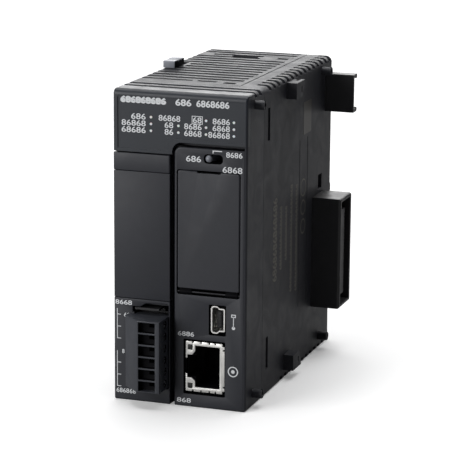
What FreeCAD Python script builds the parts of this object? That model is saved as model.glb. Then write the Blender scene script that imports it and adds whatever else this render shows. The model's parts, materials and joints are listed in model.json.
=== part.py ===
"""Slim controller module for a 35 mm mounting rail, as a bench-strippable assembly.

All sizes are millimetres.  While it is being modelled the module stands with the
outer corner of its housing at (0, 0, 0): X runs from the left side to the right side,
Y from the front face to the rear, Z up.  Every piece is then moved so that the origin
is the centre of the foot of the module's overall box.
"""
import FreeCAD, Part
import math
import os

Vector = FreeCAD.Vector
X_AXIS = Vector(1, 0, 0)
Y_AXIS = Vector(0, 1, 0)
Z_AXIS = Vector(0, 0, 1)

# ---------------------------------------------------------------- driving dimensions
WIDTH = 44.0                 # housing, left side to right side
DEPTH = 90.0                 # housing, front face to rear face
HEIGHT = 100.0               # housing, foot to top
WALL = 2.0                   # moulded wall
SKIN = 1.2                   # thin inner wall
GAP = 0.15                   # joint line between two fixed mouldings
PLAY = 0.3                   # room round a piece that moves
EDGE = 0.8                   # softened outer edge

SEAM_Y = 16.2                # front frame meets the two case halves
SEAM_X = 35.5                # left case half meets right case half
BOLSTER = 2.6                # depth of the front panels, up to the frame's bulkhead
BULKHEAD = 1.8               # thickness of the frame's bulkhead

COLUMN = 18.8                # width of the left column of the front
CHANNEL = 1.45               # upright channel between the two columns
CHANNEL_SUNK = 1.1           # how far the channel runs into the bulkhead
PANEL_RIGHT = 43.1           # right edge of the right front panel
PANEL_TOP = 83.1             # top of the right front panel
BEZEL_LOW = 80.5             # lower edge of the bezel over the left column
BEZEL_HIGH = 84.4            # lower edge of the bezel over the right column
BEZEL_DEPTH = 2.8
BEZEL_LIP = 6.6              # how far the bezel's top lip runs back
BEZEL_ROUND = 1.8
LAMP_LEFT = 12.5             # indicator lamps: first column, top row
LAMP_TOP = 91.7
LAMP_PITCH_X = 9.0
LAMP_PITCH_Z = 2.12
LAMP_R = 0.4
LAMP_BOARD_Y = 9.2

VENT_PITCH = 4.66            # cooling slots, centre to centre
VENT_WIDTH = 2.35
VENT_FIRST_LEFT = 27.7       # first slot of the left case half
VENT_FIRST_RIGHT = 22.4      # first slot of the right case half
VENT_COUNT_LEFT = 14
VENT_COUNT_RIGHT = 15
VENT_LEFT_END = 33.4         # where the left slots stop before the seam
VENT_RIGHT_START = 39.6      # where the right slots begin after the seam
VENT_DROP = 2.9              # depth of a slot, through the top wall
VENT_END_DROP = 1.6          # how far a slot runs down the right side
SEAM_GROOVE = (0.12, 0.6)    # line along the seam on top: extra width each side, depth
SIDE_SLOT = (19.9, 22.1)     # upright slots near the front of the right side
GROOVE_Y = (7.7, 12.4)       # blind grooves across the front frame

DOOR = (21.25, 41.7, 38.15, 75.9)        # card door: left, right, bottom, top
DOOR_THICK = 1.6
DOOR_AXIS = (0.8, 37.25)                 # hinge line: y, z
DOOR_PIN_R = 0.4
HINGE_GAP_LOW = 36.4                     # lower edge of the gap that the hinge sits in

SWITCH = (29.9, 36.1, 78.45, 81.4)       # mode switch slot
SWITCH_PIVOT_Y = 6.4
SWITCH_REST = 15.0                       # degrees left of straight ahead

USB = (32.2, 36.8, 24.5, 33.4)           # service socket shell
USB_RECESS = (31.75, 37.4, 24.05, 33.9)
USB_TONGUE = (34.0, 35.4, 26.35, 31.45)
JACK = (24.0, 36.9, 5.1, 21.4)           # network jack shell
JACK_RECESS = (23.4, 37.2, 4.2, 22.1)
JACK_MOUTH = (27.1, 35.3, 6.5, 20.1)
JACK_NOTCH = (9.5, 17.0)                 # room for the plug's catch: bottom, top
JACK_DEPTH = 16.0
JACK_LAMPS = (6.9, 19.45)                # lamp windows, centre heights
JACK_LAMP_X = (24.75, 26.2)

COM_TOP = 33.6                           # top of the serial port panel
CASSETTE_TOP = 74.35                     # top of the removable cassette cover
POLES = 6
POLE_PITCH = 3.81
POLE_MIDDLE = 17.1                       # height of the middle of the terminal plug
PLUG = (7.2, 18.2, 5.6, 28.7)            # terminal plug: left, right, bottom, top
PLUG_FRONT = -8.0
PLUG_WING = (5.0, -2.9)                  # outer corner of the slanted left shoulder: x, y
PLUG_SLANT_END = 10.8                    # where the shoulder meets the front face
PLUG_ENTRY = (11.2, 16.8)                # wire entries: left, right
PLUG_ENTRY_TALL = 3.3
PLUG_ENTRY_DEEP = 1.9                    # depth of the pocket in front of a wire hole
PLUG_HOLE = (14.3, 16.4, -0.2, 1.4)      # wire hole: left, right, bottom and top from the pole
CLAMP_ROOM_TALL = 2.9
PIN_X = 11.9                             # line of the header's pins
HEADER_FACE = 4.6
LEDGE = (7.3, 15.3, 30.2, 30.85)         # header's ledge over the plug

BUS = (68.8, 81.6, 17.0, 55.0)           # bus shroud: front, rear, bottom, top
BUS_REACH = 10.0                         # how far the bus shroud stands out
BUS_WALL = 1.2
TONGUE = (72.3, 77.2, 21.0, 50.6)        # bus tongue: front, rear, bottom, top
GUIDE = (82.0, 86.2, 82.2, 95.0)         # alignment channel: front, rear, bottom, top
GUIDE_WALL = 1.1
PEG_R = 1.45
PEG_ROOT_R = 1.8             # solid disc in the wall behind a peg
PEG_LONG = 3.2
PEG_FRONT_Y = 7.3
PEG_REAR_Y = 78.5
PEG_LOW_Z = 4.4
PEG_HIGH_Z = 96.4
PEG_HOLE_R = 1.6
HOOK = (38.8, 47.4, 93.2, 98.4)          # upper hook: front, rear, bottom, top
HOOK_INSET = 1.5                         # the lower hook sits this much further inwards
HOOK_LONG = 3.4

LEVER = (0.2, 4.2, 43.3, 52.3)           # lock lever tab: left, right, front, rear
LEVER_TALL = 2.3
LEVER_NECK = (2.3, 3.7, 49.7, 52.0)      # its neck through the wall
LEVER_TRAVEL = 6.0
LEVER_PAD = 1.0                          # extra wall where it slides
LEVER_SUNK = 1.6                         # recess that hides the lower tab in the foot

RAIL_LOW = 18.0                          # lower edge of the rail recess
RAIL_HIGH = 52.6                         # lip of the fixed rail hook
RAIL_POCKET_HIGH = 54.1                  # top of the pocket behind that lip
RAIL_SEAT = 82.5                         # face that the rail's flanges seat against
RAIL_POCKET = 1.7                        # room for the rail's flange
LATCH = (12.0, 28.0, 84.7, 88.3)         # rail latch: left, right, front, rear
LATCH_FOOT = 0.8
LATCH_TIP = 20.0
LATCH_TRAVEL = 3.2
SPRING_LOW = 7.0
SPRING_HIGH = 13.4

BOARD = 1.6                              # circuit board thickness
MAIN_BOARD_X = 37.4
LEFT_BOARD_X = 12.4

# The overall box runs from the left side to the end of the bus shroud, and from the
# front of the terminal plug to the rear face.
CENTRE_X = (WIDTH + BUS_REACH) / 2.0
CENTRE_Y = (PLUG_FRONT + DEPTH) / 2.0


# ---------------------------------------------------------------- shaping helpers
def block(x0, x1, y0, y1, z0, z1):
    return Part.makeBox(x1 - x0, y1 - y0, z1 - z0, Vector(x0, y0, z0))


def rod(x, y, z, radius, length, axis):
    return Part.makeCylinder(radius, length, Vector(x, y, z), axis)


def edges_where(shape, axis, test):
    """Straight edges parallel to an axis whose middle passes the test."""
    found = []
    for edge in shape.Edges:
        if edge.Curve.TypeId != "Part::GeomLine":
            continue
        if abs(edge.tangentAt(edge.FirstParameter).dot(axis)) > 0.999:
            if test(edge.CenterOfMass):
                found.append(edge)
    return found


def near(value, target):
    return abs(value - target) < 0.02


def soften(shape, axis, radius, test):
    """Round the chosen edges."""
    return shape.makeFillet(radius, edges_where(shape, axis, test))


def slab(x0, x1, z0, z1, y0, y1, corner):
    """A plate facing forward with rounded corners."""
    return soften(block(x0, x1, y0, y1, z0, z1), Y_AXIS, corner, lambda middle: True)


def fuse(pieces):
    shape = pieces[0]
    if len(pieces) > 1:
        shape = shape.fuse(pieces[1:])
    return shape.removeSplitter()


def cut(shape, tools):
    return shape.cut(tools).removeSplitter()


def prism_z(points, z0, z1):
    """An upright prism over a polygon of (x, y) points."""
    corners = [Vector(x, y, z0) for x, y in points]
    outline = Part.makePolygon(corners + corners[:1])
    return Part.Face(outline).extrude(Vector(0, 0, z1 - z0))


def prism_y(points, y0, y1):
    """A prism running back from a polygon of (x, z) points."""
    corners = [Vector(x, y0, z) for x, z in points]
    outline = Part.makePolygon(corners + corners[:1])
    return Part.Face(outline).extrude(Vector(0, y1 - y0, 0))


def prism_x(points, x0, x1):
    """A prism running right from a polygon of (y, z) points."""
    corners = [Vector(x0, y, z) for y, z in points]
    outline = Part.makePolygon(corners + corners[:1])
    return Part.Face(outline).extrude(Vector(x1 - x0, 0, 0))


def mirrored_height(shape):
    """The same shape hung from the top instead of standing on the foot."""
    return shape.mirror(Vector(0, 0, HEIGHT / 2.0), Z_AXIS)


def group(pieces):
    """Separate like solids that share one node."""
    return Part.makeCompound(pieces)


def pole_heights():
    middle = (POLES - 1) / 2.0
    return [POLE_MIDDLE + (index - middle) * POLE_PITCH for index in range(POLES)]


# ---------------------------------------------------------------- housing
def vent(y, x0, x1, drop):
    """One cooling slot cut down from the top."""
    half = VENT_WIDTH / 2
    return block(x0, x1, y - half, y + half, HEIGHT - drop, HEIGHT + 1)


def vent_lines(first, count):
    return [first + index * VENT_PITCH for index in range(count)]


def rounded_case(x0, x1, y0, y1, right_round, left_round):
    """Outer block of a case part with its long top and foot edges rounded."""
    shape = block(x0, x1, y0, y1, 0, HEIGHT)
    if right_round:
        shape = soften(shape, Y_AXIS, right_round,
                       lambda middle: near(middle.x, x1) and middle.z > 1)
        shape = soften(shape, Y_AXIS, EDGE,
                       lambda middle: near(middle.x, x1) and near(middle.z, 0))
    if left_round:
        shape = soften(shape, Y_AXIS, left_round, lambda middle: near(middle.x, x0))
    return shape


def peg(y, z):
    """Locating peg with a hollow, notched end."""
    shaft = rod(WIDTH - WALL / 2, y, z, PEG_R, PEG_LONG + WALL / 2, X_AXIS)
    tip = WIDTH + PEG_LONG
    hollow = rod(tip - 1.6, y, z, PEG_R - 0.6, 2, X_AXIS)
    notch = block(tip - 0.7, tip + 1, y - 0.35, y + 0.35, z - 3, z + 3)
    root = rod(WIDTH - WALL, y, z, PEG_ROOT_R, WALL, X_AXIS)
    return shaft.cut([hollow, notch]).fuse(root)


def peg_boss(y, z):
    boss = rod(0.2, y, z, PEG_HOLE_R + 1.1, PEG_LONG + 1.6, X_AXIS)
    return boss.common(block(0, WIDTH, 0, DEPTH, WALL, HEIGHT - WALL))


def peg_hole(y, z):
    return rod(-1, y, z, PEG_HOLE_R, PEG_LONG + 1.4, X_AXIS)


def bezel_outline(grow, y0, y1):
    """Stepped outline of the display bezel, deeper over the left column."""
    step = COLUMN + CHANNEL / 2 + grow
    low = block(-grow, step, y0, y1, BEZEL_LOW - grow, BEZEL_HIGH + 1)
    high = block(-grow, WIDTH + grow, y0, y1, BEZEL_HIGH - grow, HEIGHT + grow)
    shape = low.fuse(high).removeSplitter()
    inner = edges_where(shape, Y_AXIS,
                        lambda middle: near(middle.x, step) and near(middle.z, BEZEL_HIGH - grow))
    outer = edges_where(shape, Y_AXIS,
                        lambda middle: near(middle.x, step) and near(middle.z, BEZEL_LOW - grow))
    shape = shape.makeFillet(3.0, inner)
    if outer:
        outer = edges_where(shape, Y_AXIS,
                            lambda middle: near(middle.x, step) and middle.z < BEZEL_LOW + 0.5)
        shape = shape.makeFillet(0.7, outer)
    return shape


def front_frame():
    """Front frame: four walls, a bulkhead with openings, and two grooves on top."""
    shape = rounded_case(0, WIDTH, 0, SEAM_Y - GAP, EDGE * 2, EDGE)
    shape = soften(shape, Z_AXIS, EDGE,
                   lambda middle: near(middle.y, 0) and near(middle.x, WIDTH))
    back = BOLSTER + BULKHEAD
    hollow = block(WALL, WIDTH - WALL, back, SEAM_Y + 1, WALL, HEIGHT - WALL)
    left_front = block(-1, COLUMN + CHANNEL, -1, BOLSTER, -1, BEZEL_HIGH + 1)
    right_front = block(COLUMN, PANEL_RIGHT + GAP / 2, -1, BOLSTER, -1, BEZEL_HIGH)
    bezel_room = bezel_outline(0, -1, BEZEL_DEPTH + GAP)
    lip_room = block(-1, WIDTH + 1, -1, BEZEL_LIP + GAP, HEIGHT - 1.5, HEIGHT + 1)
    channel = block(COLUMN, COLUMN + CHANNEL, 0, BOLSTER + CHANNEL_SUNK, -1, BEZEL_HIGH)
    step = block(COLUMN, PANEL_RIGHT, 0, BOLSTER + CHANNEL_SUNK, PANEL_TOP, BEZEL_HIGH)
    tools = [hollow, left_front, right_front, bezel_room, lip_room, channel, step]
    for y in GROOVE_Y:
        half = VENT_WIDTH / 2
        tools.append(block(-1, WIDTH + 1, y - half, y + half, HEIGHT - 1.5, HEIGHT + 1))
        tools.append(block(WIDTH - 1.2, WIDTH + 1, y - half, y + half,
                           HEIGHT - VENT_END_DROP, HEIGHT + 1))
    tools.append(block(DOOR[0] - 0.2, MAIN_BOARD_X - 0.4, 0, back + 1, HINGE_GAP_LOW, 76.1))
    tools.append(block(DOOR[0] - 0.2, DOOR[1] + 0.2, 0, BOLSTER + 0.9, HINGE_GAP_LOW, 76.1))
    tools.append(block(28.6, 37.2, 0, back + 1, 77.6, 82.3))
    tools.append(block(USB_RECESS[0], USB_RECESS[1], 0, back + 1, USB_RECESS[2], USB_RECESS[3]))
    tools.append(block(JACK_RECESS[0], JACK_RECESS[1], 0, back + 1,
                       JACK_RECESS[2], JACK_RECESS[3]))
    tools.append(block(2.6, 16.9, 0, back + 1, 36.0, 72.2))
    tools.append(block(6.9, 18.4, 0, back + 1, 4.9, 31.4))
    tools.append(block(3.0, 41.0, 0, back + 1, 84.9, 93.4))
    shape = cut(shape, tools)
    shape = fuse([shape, peg_boss(PEG_FRONT_Y, PEG_HIGH_Z), peg_boss(PEG_FRONT_Y, PEG_LOW_Z),
                  peg(PEG_FRONT_Y, PEG_HIGH_Z), peg(PEG_FRONT_Y, PEG_LOW_Z)])
    return cut(shape, [peg_hole(PEG_FRONT_Y, PEG_HIGH_Z), peg_hole(PEG_FRONT_Y, PEG_LOW_Z)])


def cassette_band():
    """Fixed strip above the cassette cover, set on the front frame."""
    strip = block(0, COLUMN, 0, BOLSTER, CASSETTE_TOP + GAP, BEZEL_LOW - 0.45)
    return soften(strip, Z_AXIS, 0.5, lambda middle: near(middle.y, 0))


def rail_block():
    """Thick rear section of a case half that carries the mounting rail recess."""
    return block(0, WIDTH, RAIL_SEAT - 1.6, DEPTH, RAIL_LOW - 1.8, RAIL_POCKET_HIGH + 1.8)


def rail_recess():
    room = block(-1, WIDTH + 1, RAIL_SEAT, DEPTH + 1, RAIL_LOW, RAIL_HIGH)
    pocket = block(-1, WIDTH + 1, RAIL_SEAT, RAIL_SEAT + RAIL_POCKET, RAIL_LOW, RAIL_POCKET_HIGH)
    lead = prism_x([(DEPTH - 1.2, RAIL_HIGH - 0.1), (DEPTH + 0.1, RAIL_HIGH + 1.2),
                    (DEPTH + 0.1, RAIL_HIGH - 0.1)], -1, WIDTH + 1)
    return room.fuse([pocket, lead])


def lower_hook_place(shape):
    """Moves what belongs to the upper hook to the lower hook's place."""
    return mirrored_height(shape).translated(Vector(0, 0, HOOK_INSET))


def hook_window(low):
    """Opening in the left wall for a neighbour's hook."""
    window = block(-1, WALL + 1, HOOK[0] - 0.6, HOOK[1] + 1.6, HOOK[2] - 0.6, HOOK[3] + 0.4)
    return lower_hook_place(window) if low else window


def lever_slot(low):
    """Slot in the top or bottom wall that the lock lever's neck slides in."""
    left, right, front, rear = LEVER_NECK
    slot = block(left - PLAY, right + PLAY, front - PLAY, rear + LEVER_TRAVEL + PLAY,
                 HEIGHT - WALL - 2, HEIGHT + 1)
    return mirrored_height(slot) if low else slot


def lever_pad(low):
    """Thicker wall that the lock lever slides along."""
    pad = block(0, 7.4, LEVER[2] - 5, LEVER[3] + LEVER_TRAVEL + 1.5,
                HEIGHT - WALL - LEVER_PAD, HEIGHT - WALL)
    return mirrored_height(pad) if low else pad


def case_left():
    """Left case half: left side, most of the top, the foot and the rear."""
    shape = rounded_case(0, SEAM_X - GAP, SEAM_Y, DEPTH, 0, EDGE)
    shape = soften(shape, Z_AXIS, EDGE,
                   lambda middle: near(middle.y, DEPTH) and near(middle.x, 0))
    hollow = block(WALL, SEAM_X + 1, SEAM_Y - 1, DEPTH - WALL, WALL, HEIGHT - WALL)
    shape = shape.cut(hollow)
    limit = block(0, SEAM_X - GAP, SEAM_Y, DEPTH, 0, HEIGHT)
    bus_box = block(0, 11.6, BUS[0] - 1.3, BUS[1] + 1.0, BUS[2] - 1.4, BUS[3] + 1.4)
    guide_box = block(0, 12.0, GUIDE[0] - 1.4, DEPTH - 1, GUIDE[2] - 1.6, GUIDE[3] + 1.4)
    latch_box = block(LATCH[0] - 2, LATCH[1] + 2, LATCH[2] - 1.9, DEPTH, 0, RAIL_LOW)
    stiffeners = [block(x, x + 1.0, SEAM_Y + 3, DEPTH - WALL, HEIGHT - WALL - 0.9, HEIGHT - WALL)
                  for x in (11.0, 22.0)]
    bosses = [peg_boss(PEG_REAR_Y, PEG_HIGH_Z), peg_boss(PEG_REAR_Y, PEG_LOW_Z)]
    shape = fuse([shape, rail_block().common(limit), bus_box, guide_box, latch_box,
                  lever_pad(False), lever_pad(True)] + stiffeners + bosses)
    latch_room = block(LATCH[0] - PLAY, LATCH[1] + PLAY, LATCH[2] - PLAY, LATCH[3] + PLAY,
                       -1, RAIL_LOW + 1)
    tools = [rail_recess(), latch_room, hook_window(False), hook_window(True),
             lever_slot(False), lever_slot(True),
             block(-1, 10.4, BUS[0] - 0.3, BUS[1] + 0.3, BUS[2] - 0.4, BUS[3] + 0.4),
             block(9, 13, TONGUE[0] - 0.6, TONGUE[1] + 0.6, TONGUE[2] - 0.8, TONGUE[3] + 0.8),
             block(-1, 10.4, GUIDE[0] - 0.4, GUIDE[1] + 0.5, GUIDE[2] - 0.6, GUIDE[3] + 0.5),
             block(-0.1, LEVER[1] + 0.5, LEVER[2] - 0.4, LEVER[3] + LEVER_TRAVEL + 0.4,
                   -1, LEVER_SUNK),
             block(26.0, 35.0, 18.6, 18.9, HEIGHT - 0.3, HEIGHT + 1),
             block(SEAM_X - GAP - SEAM_GROOVE[0], SEAM_X + 1, 18.9, DEPTH + 1,
                   HEIGHT - SEAM_GROOVE[1], HEIGHT + 1),
             block(28.7, 32.6, 20.6, 23.2, HEIGHT - WALL - 1, HEIGHT + 1),
             block(19.5, 26.0, 22.1, 24.0, HEIGHT - WALL - 1, HEIGHT + 1),
             block(-1, 17.8, 22.1, 24.0, HEIGHT - VENT_DROP, HEIGHT + 1)]
    tools += top_vents_left()
    tools += bottom_vents()
    tools += [peg_hole(PEG_REAR_Y, PEG_HIGH_Z), peg_hole(PEG_REAR_Y, PEG_LOW_Z)]
    shape = cut(shape, tools)
    spring_shelf = block(18.2, 21.8, LATCH[2] - PLAY - 0.1, LATCH[3] + PLAY + 0.1,
                         SPRING_LOW - 1.0, SPRING_LOW)
    return fuse([shape, spring_shelf])


def top_vents_left():
    """Slots of the left half, leaving a pad with a release hole near the rear.

    A slot starts further in where it would cut the lock lever's track or a peg hole.
    """
    kept = ((LEVER[3] - 4, LEVER[3] + LEVER_TRAVEL + 1), (PEG_REAR_Y - 3, PEG_REAR_Y + 3))
    slots = []
    for y in vent_lines(VENT_FIRST_LEFT, VENT_COUNT_LEFT):
        if not any(front < y < rear for front, rear in kept):
            slots.append(vent(y, -1, WALL + 0.1, WALL - 0.3))
            slots.append(vent(y, WALL, VENT_LEFT_END, VENT_DROP))
        else:
            slots.append(vent(y, 5.2, VENT_LEFT_END, VENT_DROP))
    pad_front = 73.0
    pad_rear = 79.6
    pad = block(23.2, SEAM_X, pad_front, pad_rear, 0, HEIGHT + 2)
    trimmed = [slot.cut(pad) for slot in slots]
    trimmed.append(block(28.8, 32.6, 75.0, 77.8, HEIGHT - WALL - 1, HEIGHT + 1))
    trimmed.append(block(12.8, 21.9, 74.2, 77.9, HEIGHT - WALL - 1, HEIGHT + 1))
    return trimmed


def bottom_vents():
    """Cooling slots through the foot, clear of the latch and the lever."""
    return [mirrored_height(vent(y, 9.0, VENT_LEFT_END, VENT_DROP))
            for y in vent_lines(VENT_FIRST_LEFT, VENT_COUNT_LEFT - 3)]


def hook():
    """Upper hook that a neighbour's lock lever grips."""
    front, rear, low, high = HOOK
    body = prism_x([(front, low), (rear - 2.6, low), (rear, low + 3.2), (rear, high),
                    (front, high)], WIDTH - 1, WIDTH + HOOK_LONG)
    groove = block(WIDTH + 0.9, WIDTH + 2.1, rear - 3.0, rear + 1, low - 1, high + 1)
    slit = block(WIDTH + HOOK_LONG - 1.2, WIDTH + HOOK_LONG + 1, rear - 3.4, rear - 2.6,
                 low + 1.6, low + 3.4)
    return body.cut([groove, slit])


def case_right():
    """Right case half: right side with pegs and hooks, and the rest of the top and rear."""
    shape = rounded_case(SEAM_X, WIDTH, SEAM_Y, DEPTH, 2.0, 0)
    shape = soften(shape, Z_AXIS, EDGE,
                   lambda middle: near(middle.y, DEPTH) and near(middle.x, WIDTH))
    hollow = block(SEAM_X - 1, WIDTH - WALL, SEAM_Y - 1, DEPTH - WALL, WALL, HEIGHT - WALL)
    shape = shape.cut(hollow)
    limit = block(SEAM_X, WIDTH, SEAM_Y, DEPTH, 0, HEIGHT)
    bosses = [rod(MAIN_BOARD_X + BOARD, y, z, 3.0, WIDTH - MAIN_BOARD_X - BOARD - 1, X_AXIS)
              for y, z in BOARD_SCREWS]
    shape = fuse([shape, rail_block().common(limit), hook(), lower_hook_place(hook())] + bosses)
    slots = []
    for y in vent_lines(VENT_FIRST_RIGHT, VENT_COUNT_RIGHT):
        through = vent(y, VENT_RIGHT_START, WIDTH - WALL, VENT_DROP)
        end = vent(y, WIDTH - WALL - 0.1, WIDTH + 1, VENT_END_DROP)
        slots.append(through.fuse(end))
    tools = slots + [mirrored_height(slot) for slot in slots[3:]]
    tools += [rail_recess(),
              block(SEAM_X - 1, SEAM_X + SEAM_GROOVE[0], 18.9, DEPTH + 1,
                    HEIGHT - SEAM_GROOVE[1], HEIGHT + 1),
              block(WIDTH - WALL - 1, WIDTH + 1, *SIDE_SLOT, 82.7, 93.2),
              block(WIDTH - WALL - 1, WIDTH + 1, *SIDE_SLOT, 8.6, 19.1),
              block(WIDTH - WALL - 1, WIDTH + 1, 75.2, 79.4, BUS[3] + 1.4, 61.4),
              block(WIDTH - WALL - 1, WIDTH + 1, BUS[0], BUS[1], BUS[2], BUS[3]),
              block(WIDTH - WALL - 1, WIDTH + 1, GUIDE[0] - 0.05, GUIDE[1] + 0.05,
                    GUIDE[2] - 0.05, GUIDE[3] + 0.05)]
    tools += [rod(MAIN_BOARD_X, y, z, 1.05, WIDTH - MAIN_BOARD_X - 1.5, X_AXIS)
              for y, z in BOARD_SCREWS]
    shape = cut(shape, tools)
    return fuse([shape, peg(PEG_REAR_Y, PEG_HIGH_Z), peg(PEG_REAR_Y, PEG_LOW_Z)])


# ---------------------------------------------------------------- display
def lamp_places():
    """Lamps in four columns of three; the second column has no top lamp."""
    places = []
    for column in range(4):
        for row in range(3):
            if (column, row) != (1, 0):
                places.append((LAMP_LEFT + column * LAMP_PITCH_X, LAMP_TOP - row * LAMP_PITCH_Z))
    return places


def display_bezel():
    """Front bezel with a sunk label field and a lip that turns over the top edge."""
    plate = bezel_outline(0, 0, BEZEL_DEPTH)
    lip = block(0, WIDTH, BEZEL_DEPTH - 1, BEZEL_LIP, HEIGHT - 1.4, HEIGHT)
    shape = plate.fuse(lip).removeSplitter()
    shape = soften(shape, X_AXIS, BEZEL_ROUND,
                   lambda middle: near(middle.y, 0) and near(middle.z, HEIGHT))
    shape = soften(shape, Z_AXIS, 0.7,
                   lambda middle: near(middle.y, 0) and (near(middle.x, 0) or near(middle.x, WIDTH)))
    field = slab(1.5, WIDTH - 1.2, BEZEL_HIGH + 1.0, HEIGHT - 2.0, -1, 0.25, 0.6)
    field_low = block(1.5, COLUMN - 0.9, -1, 0.25, BEZEL_LOW + 1.0, BEZEL_HIGH + 2.0)
    holes = [rod(x, -1, z, LAMP_R + 0.05, BEZEL_DEPTH + 2, Y_AXIS) for x, z in lamp_places()]
    return cut(shape, [field, field_low] + holes)


def light_guides():
    """Clear guides that carry the lamps' light to the bezel."""
    guides = []
    for x, z in lamp_places():
        rear = rod(x, BEZEL_DEPTH + 0.1, z, LAMP_R + 0.25, LAMP_BOARD_Y - BEZEL_DEPTH - 1.2, Y_AXIS)
        front = rod(x, 0.15, z, LAMP_R, BEZEL_DEPTH, Y_AXIS)
        guides.append(rear.fuse(front).removeSplitter())
    return group(guides)


def lamp_board():
    return block(5.0, WIDTH - 3.0, LAMP_BOARD_Y, LAMP_BOARD_Y + 1.2, 84.6, 94.0)


def lamps():
    half = 0.7
    return group([block(x - half, x + half, LAMP_BOARD_Y - 0.9, LAMP_BOARD_Y, z - half, z + half)
                  for x, z in lamp_places()])


# ---------------------------------------------------------------- right front column
def right_panel():
    """Front panel of the right column, with all its openings."""
    left = COLUMN + CHANNEL
    shape = block(left, PANEL_RIGHT, 0, BOLSTER - 0.1, 0, PANEL_TOP)
    shape = soften(shape, Y_AXIS, 2.2, lambda middle: near(middle.x, left) and middle.z > 1)
    shape = soften(shape, X_AXIS, 0.6, lambda middle: near(middle.y, 0))
    door_room = slab(DOOR[0] - 0.2, DOOR[1] + 0.2, HINGE_GAP_LOW, DOOR[3] + 0.2, -1, BOLSTER, 0.9)
    switch_slot = slab(*SWITCH, -1, BOLSTER, 1.2)
    usb = slab(*USB_RECESS, -1, BOLSTER, 0.4)
    jack = slab(*JACK_RECESS, -1, BOLSTER, 0.4)
    return cut(shape, [door_room, switch_slot, usb, jack, card_door_pin()])


def card_door():
    """Drop-down door with a fingernail notch and two hinge knuckles."""
    left, right, low, high = DOOR
    plate = slab(left, right, low, high, 0, DOOR_THICK, 0.8)
    plate = soften(plate, X_AXIS, 0.5, lambda middle: near(middle.y, 0) and near(middle.z, low))
    notch = slab(27.7, 35.4, high - 0.6, high + 1, -1, DOOR_THICK + 1, 0.3)
    y, z = DOOR_AXIS
    parts = [plate.cut(notch)]
    for x in (left + 0.6, right - 4.6):
        parts.append(rod(x, y, z, 0.75, 4.0, X_AXIS))
        parts.append(block(x, x + 4.0, y - 0.35, y + 0.6, z, low + 0.4))
    catch_x = (left + right) / 2
    parts.append(block(catch_x - 2, catch_x + 2, DOOR_THICK - 0.1, DOOR_THICK + 1.6,
                       high - 2.6, high - 1.7))
    parts.append(block(left + 1.2, right - 5.4, DOOR_THICK - 0.1, DOOR_THICK + 0.5,
                       low + 6, low + 6.8))
    shape = fuse(parts)
    bores = [rod(left, y, z, DOOR_PIN_R + 0.05, right - left, X_AXIS)]
    return cut(shape, bores)


def card_door_pin():
    y, z = DOOR_AXIS
    seat = 0.6
    return rod(DOOR[0] - seat, y, z, DOOR_PIN_R, DOOR[1] - DOOR[0] + 2 * seat, X_AXIS)


def card_tray():
    """Liner of the card compartment, open to the front and to the card socket."""
    back = BOLSTER + BULKHEAD
    left = DOOR[0] - 0.3
    right = MAIN_BOARD_X - 0.3
    outer = block(left - SKIN, right, back + 0.1, 22.0, HINGE_GAP_LOW - SKIN, 76.2 + SKIN)
    room = block(left, right - 0.9, back - 1, 22.0 - SKIN, HINGE_GAP_LOW, 76.2)
    socket_room = block(33.6, right + 1, 10.0, 23.0, 44.6, 71.4)
    return cut(outer, [room, socket_room])


def card_socket():
    """Sheet metal card socket, open at the front."""
    shell = block(33.9, 36.9, 10.4, 38.0, 45.0, 71.0)
    card_room = block(34.4, 36.6, 9.0, 35.5, 45.9, 70.1)
    window = block(33.0, 34.5, 18.0, 30.0, 52.0, 64.0)
    return cut(shell, [card_room, window])


def mode_switch_body():
    left, right, low, high = SWITCH
    shape = block(left - 0.9, 37.0, BOLSTER + 0.1, 8.6, low - 0.6, high + 0.6)
    room = slab(left + 0.1, right - 0.1, low + 0.15, high - 0.15, BOLSTER - 1, 7.9, 0.5)
    return cut(shape, [room])


def mode_switch_lever():
    """Toggle with a round tip, leaning to the left at rest."""
    left, right, low, high = SWITCH
    x = (left + right) / 2
    z = (low + high) / 2
    stem_front = 0.6
    stem = block(x - 0.75, x + 0.75, stem_front, SWITCH_PIVOT_Y, z - 0.9, z + 0.9)
    hub = rod(x, SWITCH_PIVOT_Y, z - 1.1, 1.1, 2.2, Z_AXIS)
    tip = Part.makeSphere(1.15, Vector(x, stem_front - 0.15, z))
    shape = fuse([stem, hub, tip])
    shape.rotate(Vector(x, SWITCH_PIVOT_Y, z), Z_AXIS, -SWITCH_REST)
    return shape


def usb_outline(inset):
    left, right, low, high = USB
    step = 0.7
    bend = left + 2.1
    return [(left + inset, low + inset), (bend, low + inset),
            (bend + 0.7, low + step + inset), (right - inset, low + step + inset),
            (right - inset, high - step - inset), (bend + 0.7, high - step - inset),
            (bend, high - inset), (left + inset, high - inset)]


def usb_shell():
    outer = prism_y(usb_outline(0), 0.7, 10.0)
    outer = soften(outer, Y_AXIS, 1.1, lambda middle: near(middle.x, USB[0]))
    outer = soften(outer, Y_AXIS, 0.5, lambda middle: middle.x > USB[0] + 1.5)
    inner = prism_y(usb_outline(0.42), -1, 9.4)
    inner = soften(inner, Y_AXIS, 0.7, lambda middle: near(middle.x, USB[0] + 0.42))
    return cut(outer, [inner])


def usb_tongue():
    left, right, low, high = USB_TONGUE
    return block(left, right, 1.7, 9.4, low, high)


def usb_contacts():
    pitch = 0.8
    middle = (USB_TONGUE[2] + USB_TONGUE[3]) / 2
    left = USB_TONGUE[0]
    return group([block(left - 0.2, left, 1.9, 9.0, z - 0.2, z + 0.2)
                  for z in [middle + (index - 2) * pitch for index in range(5)]])


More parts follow.
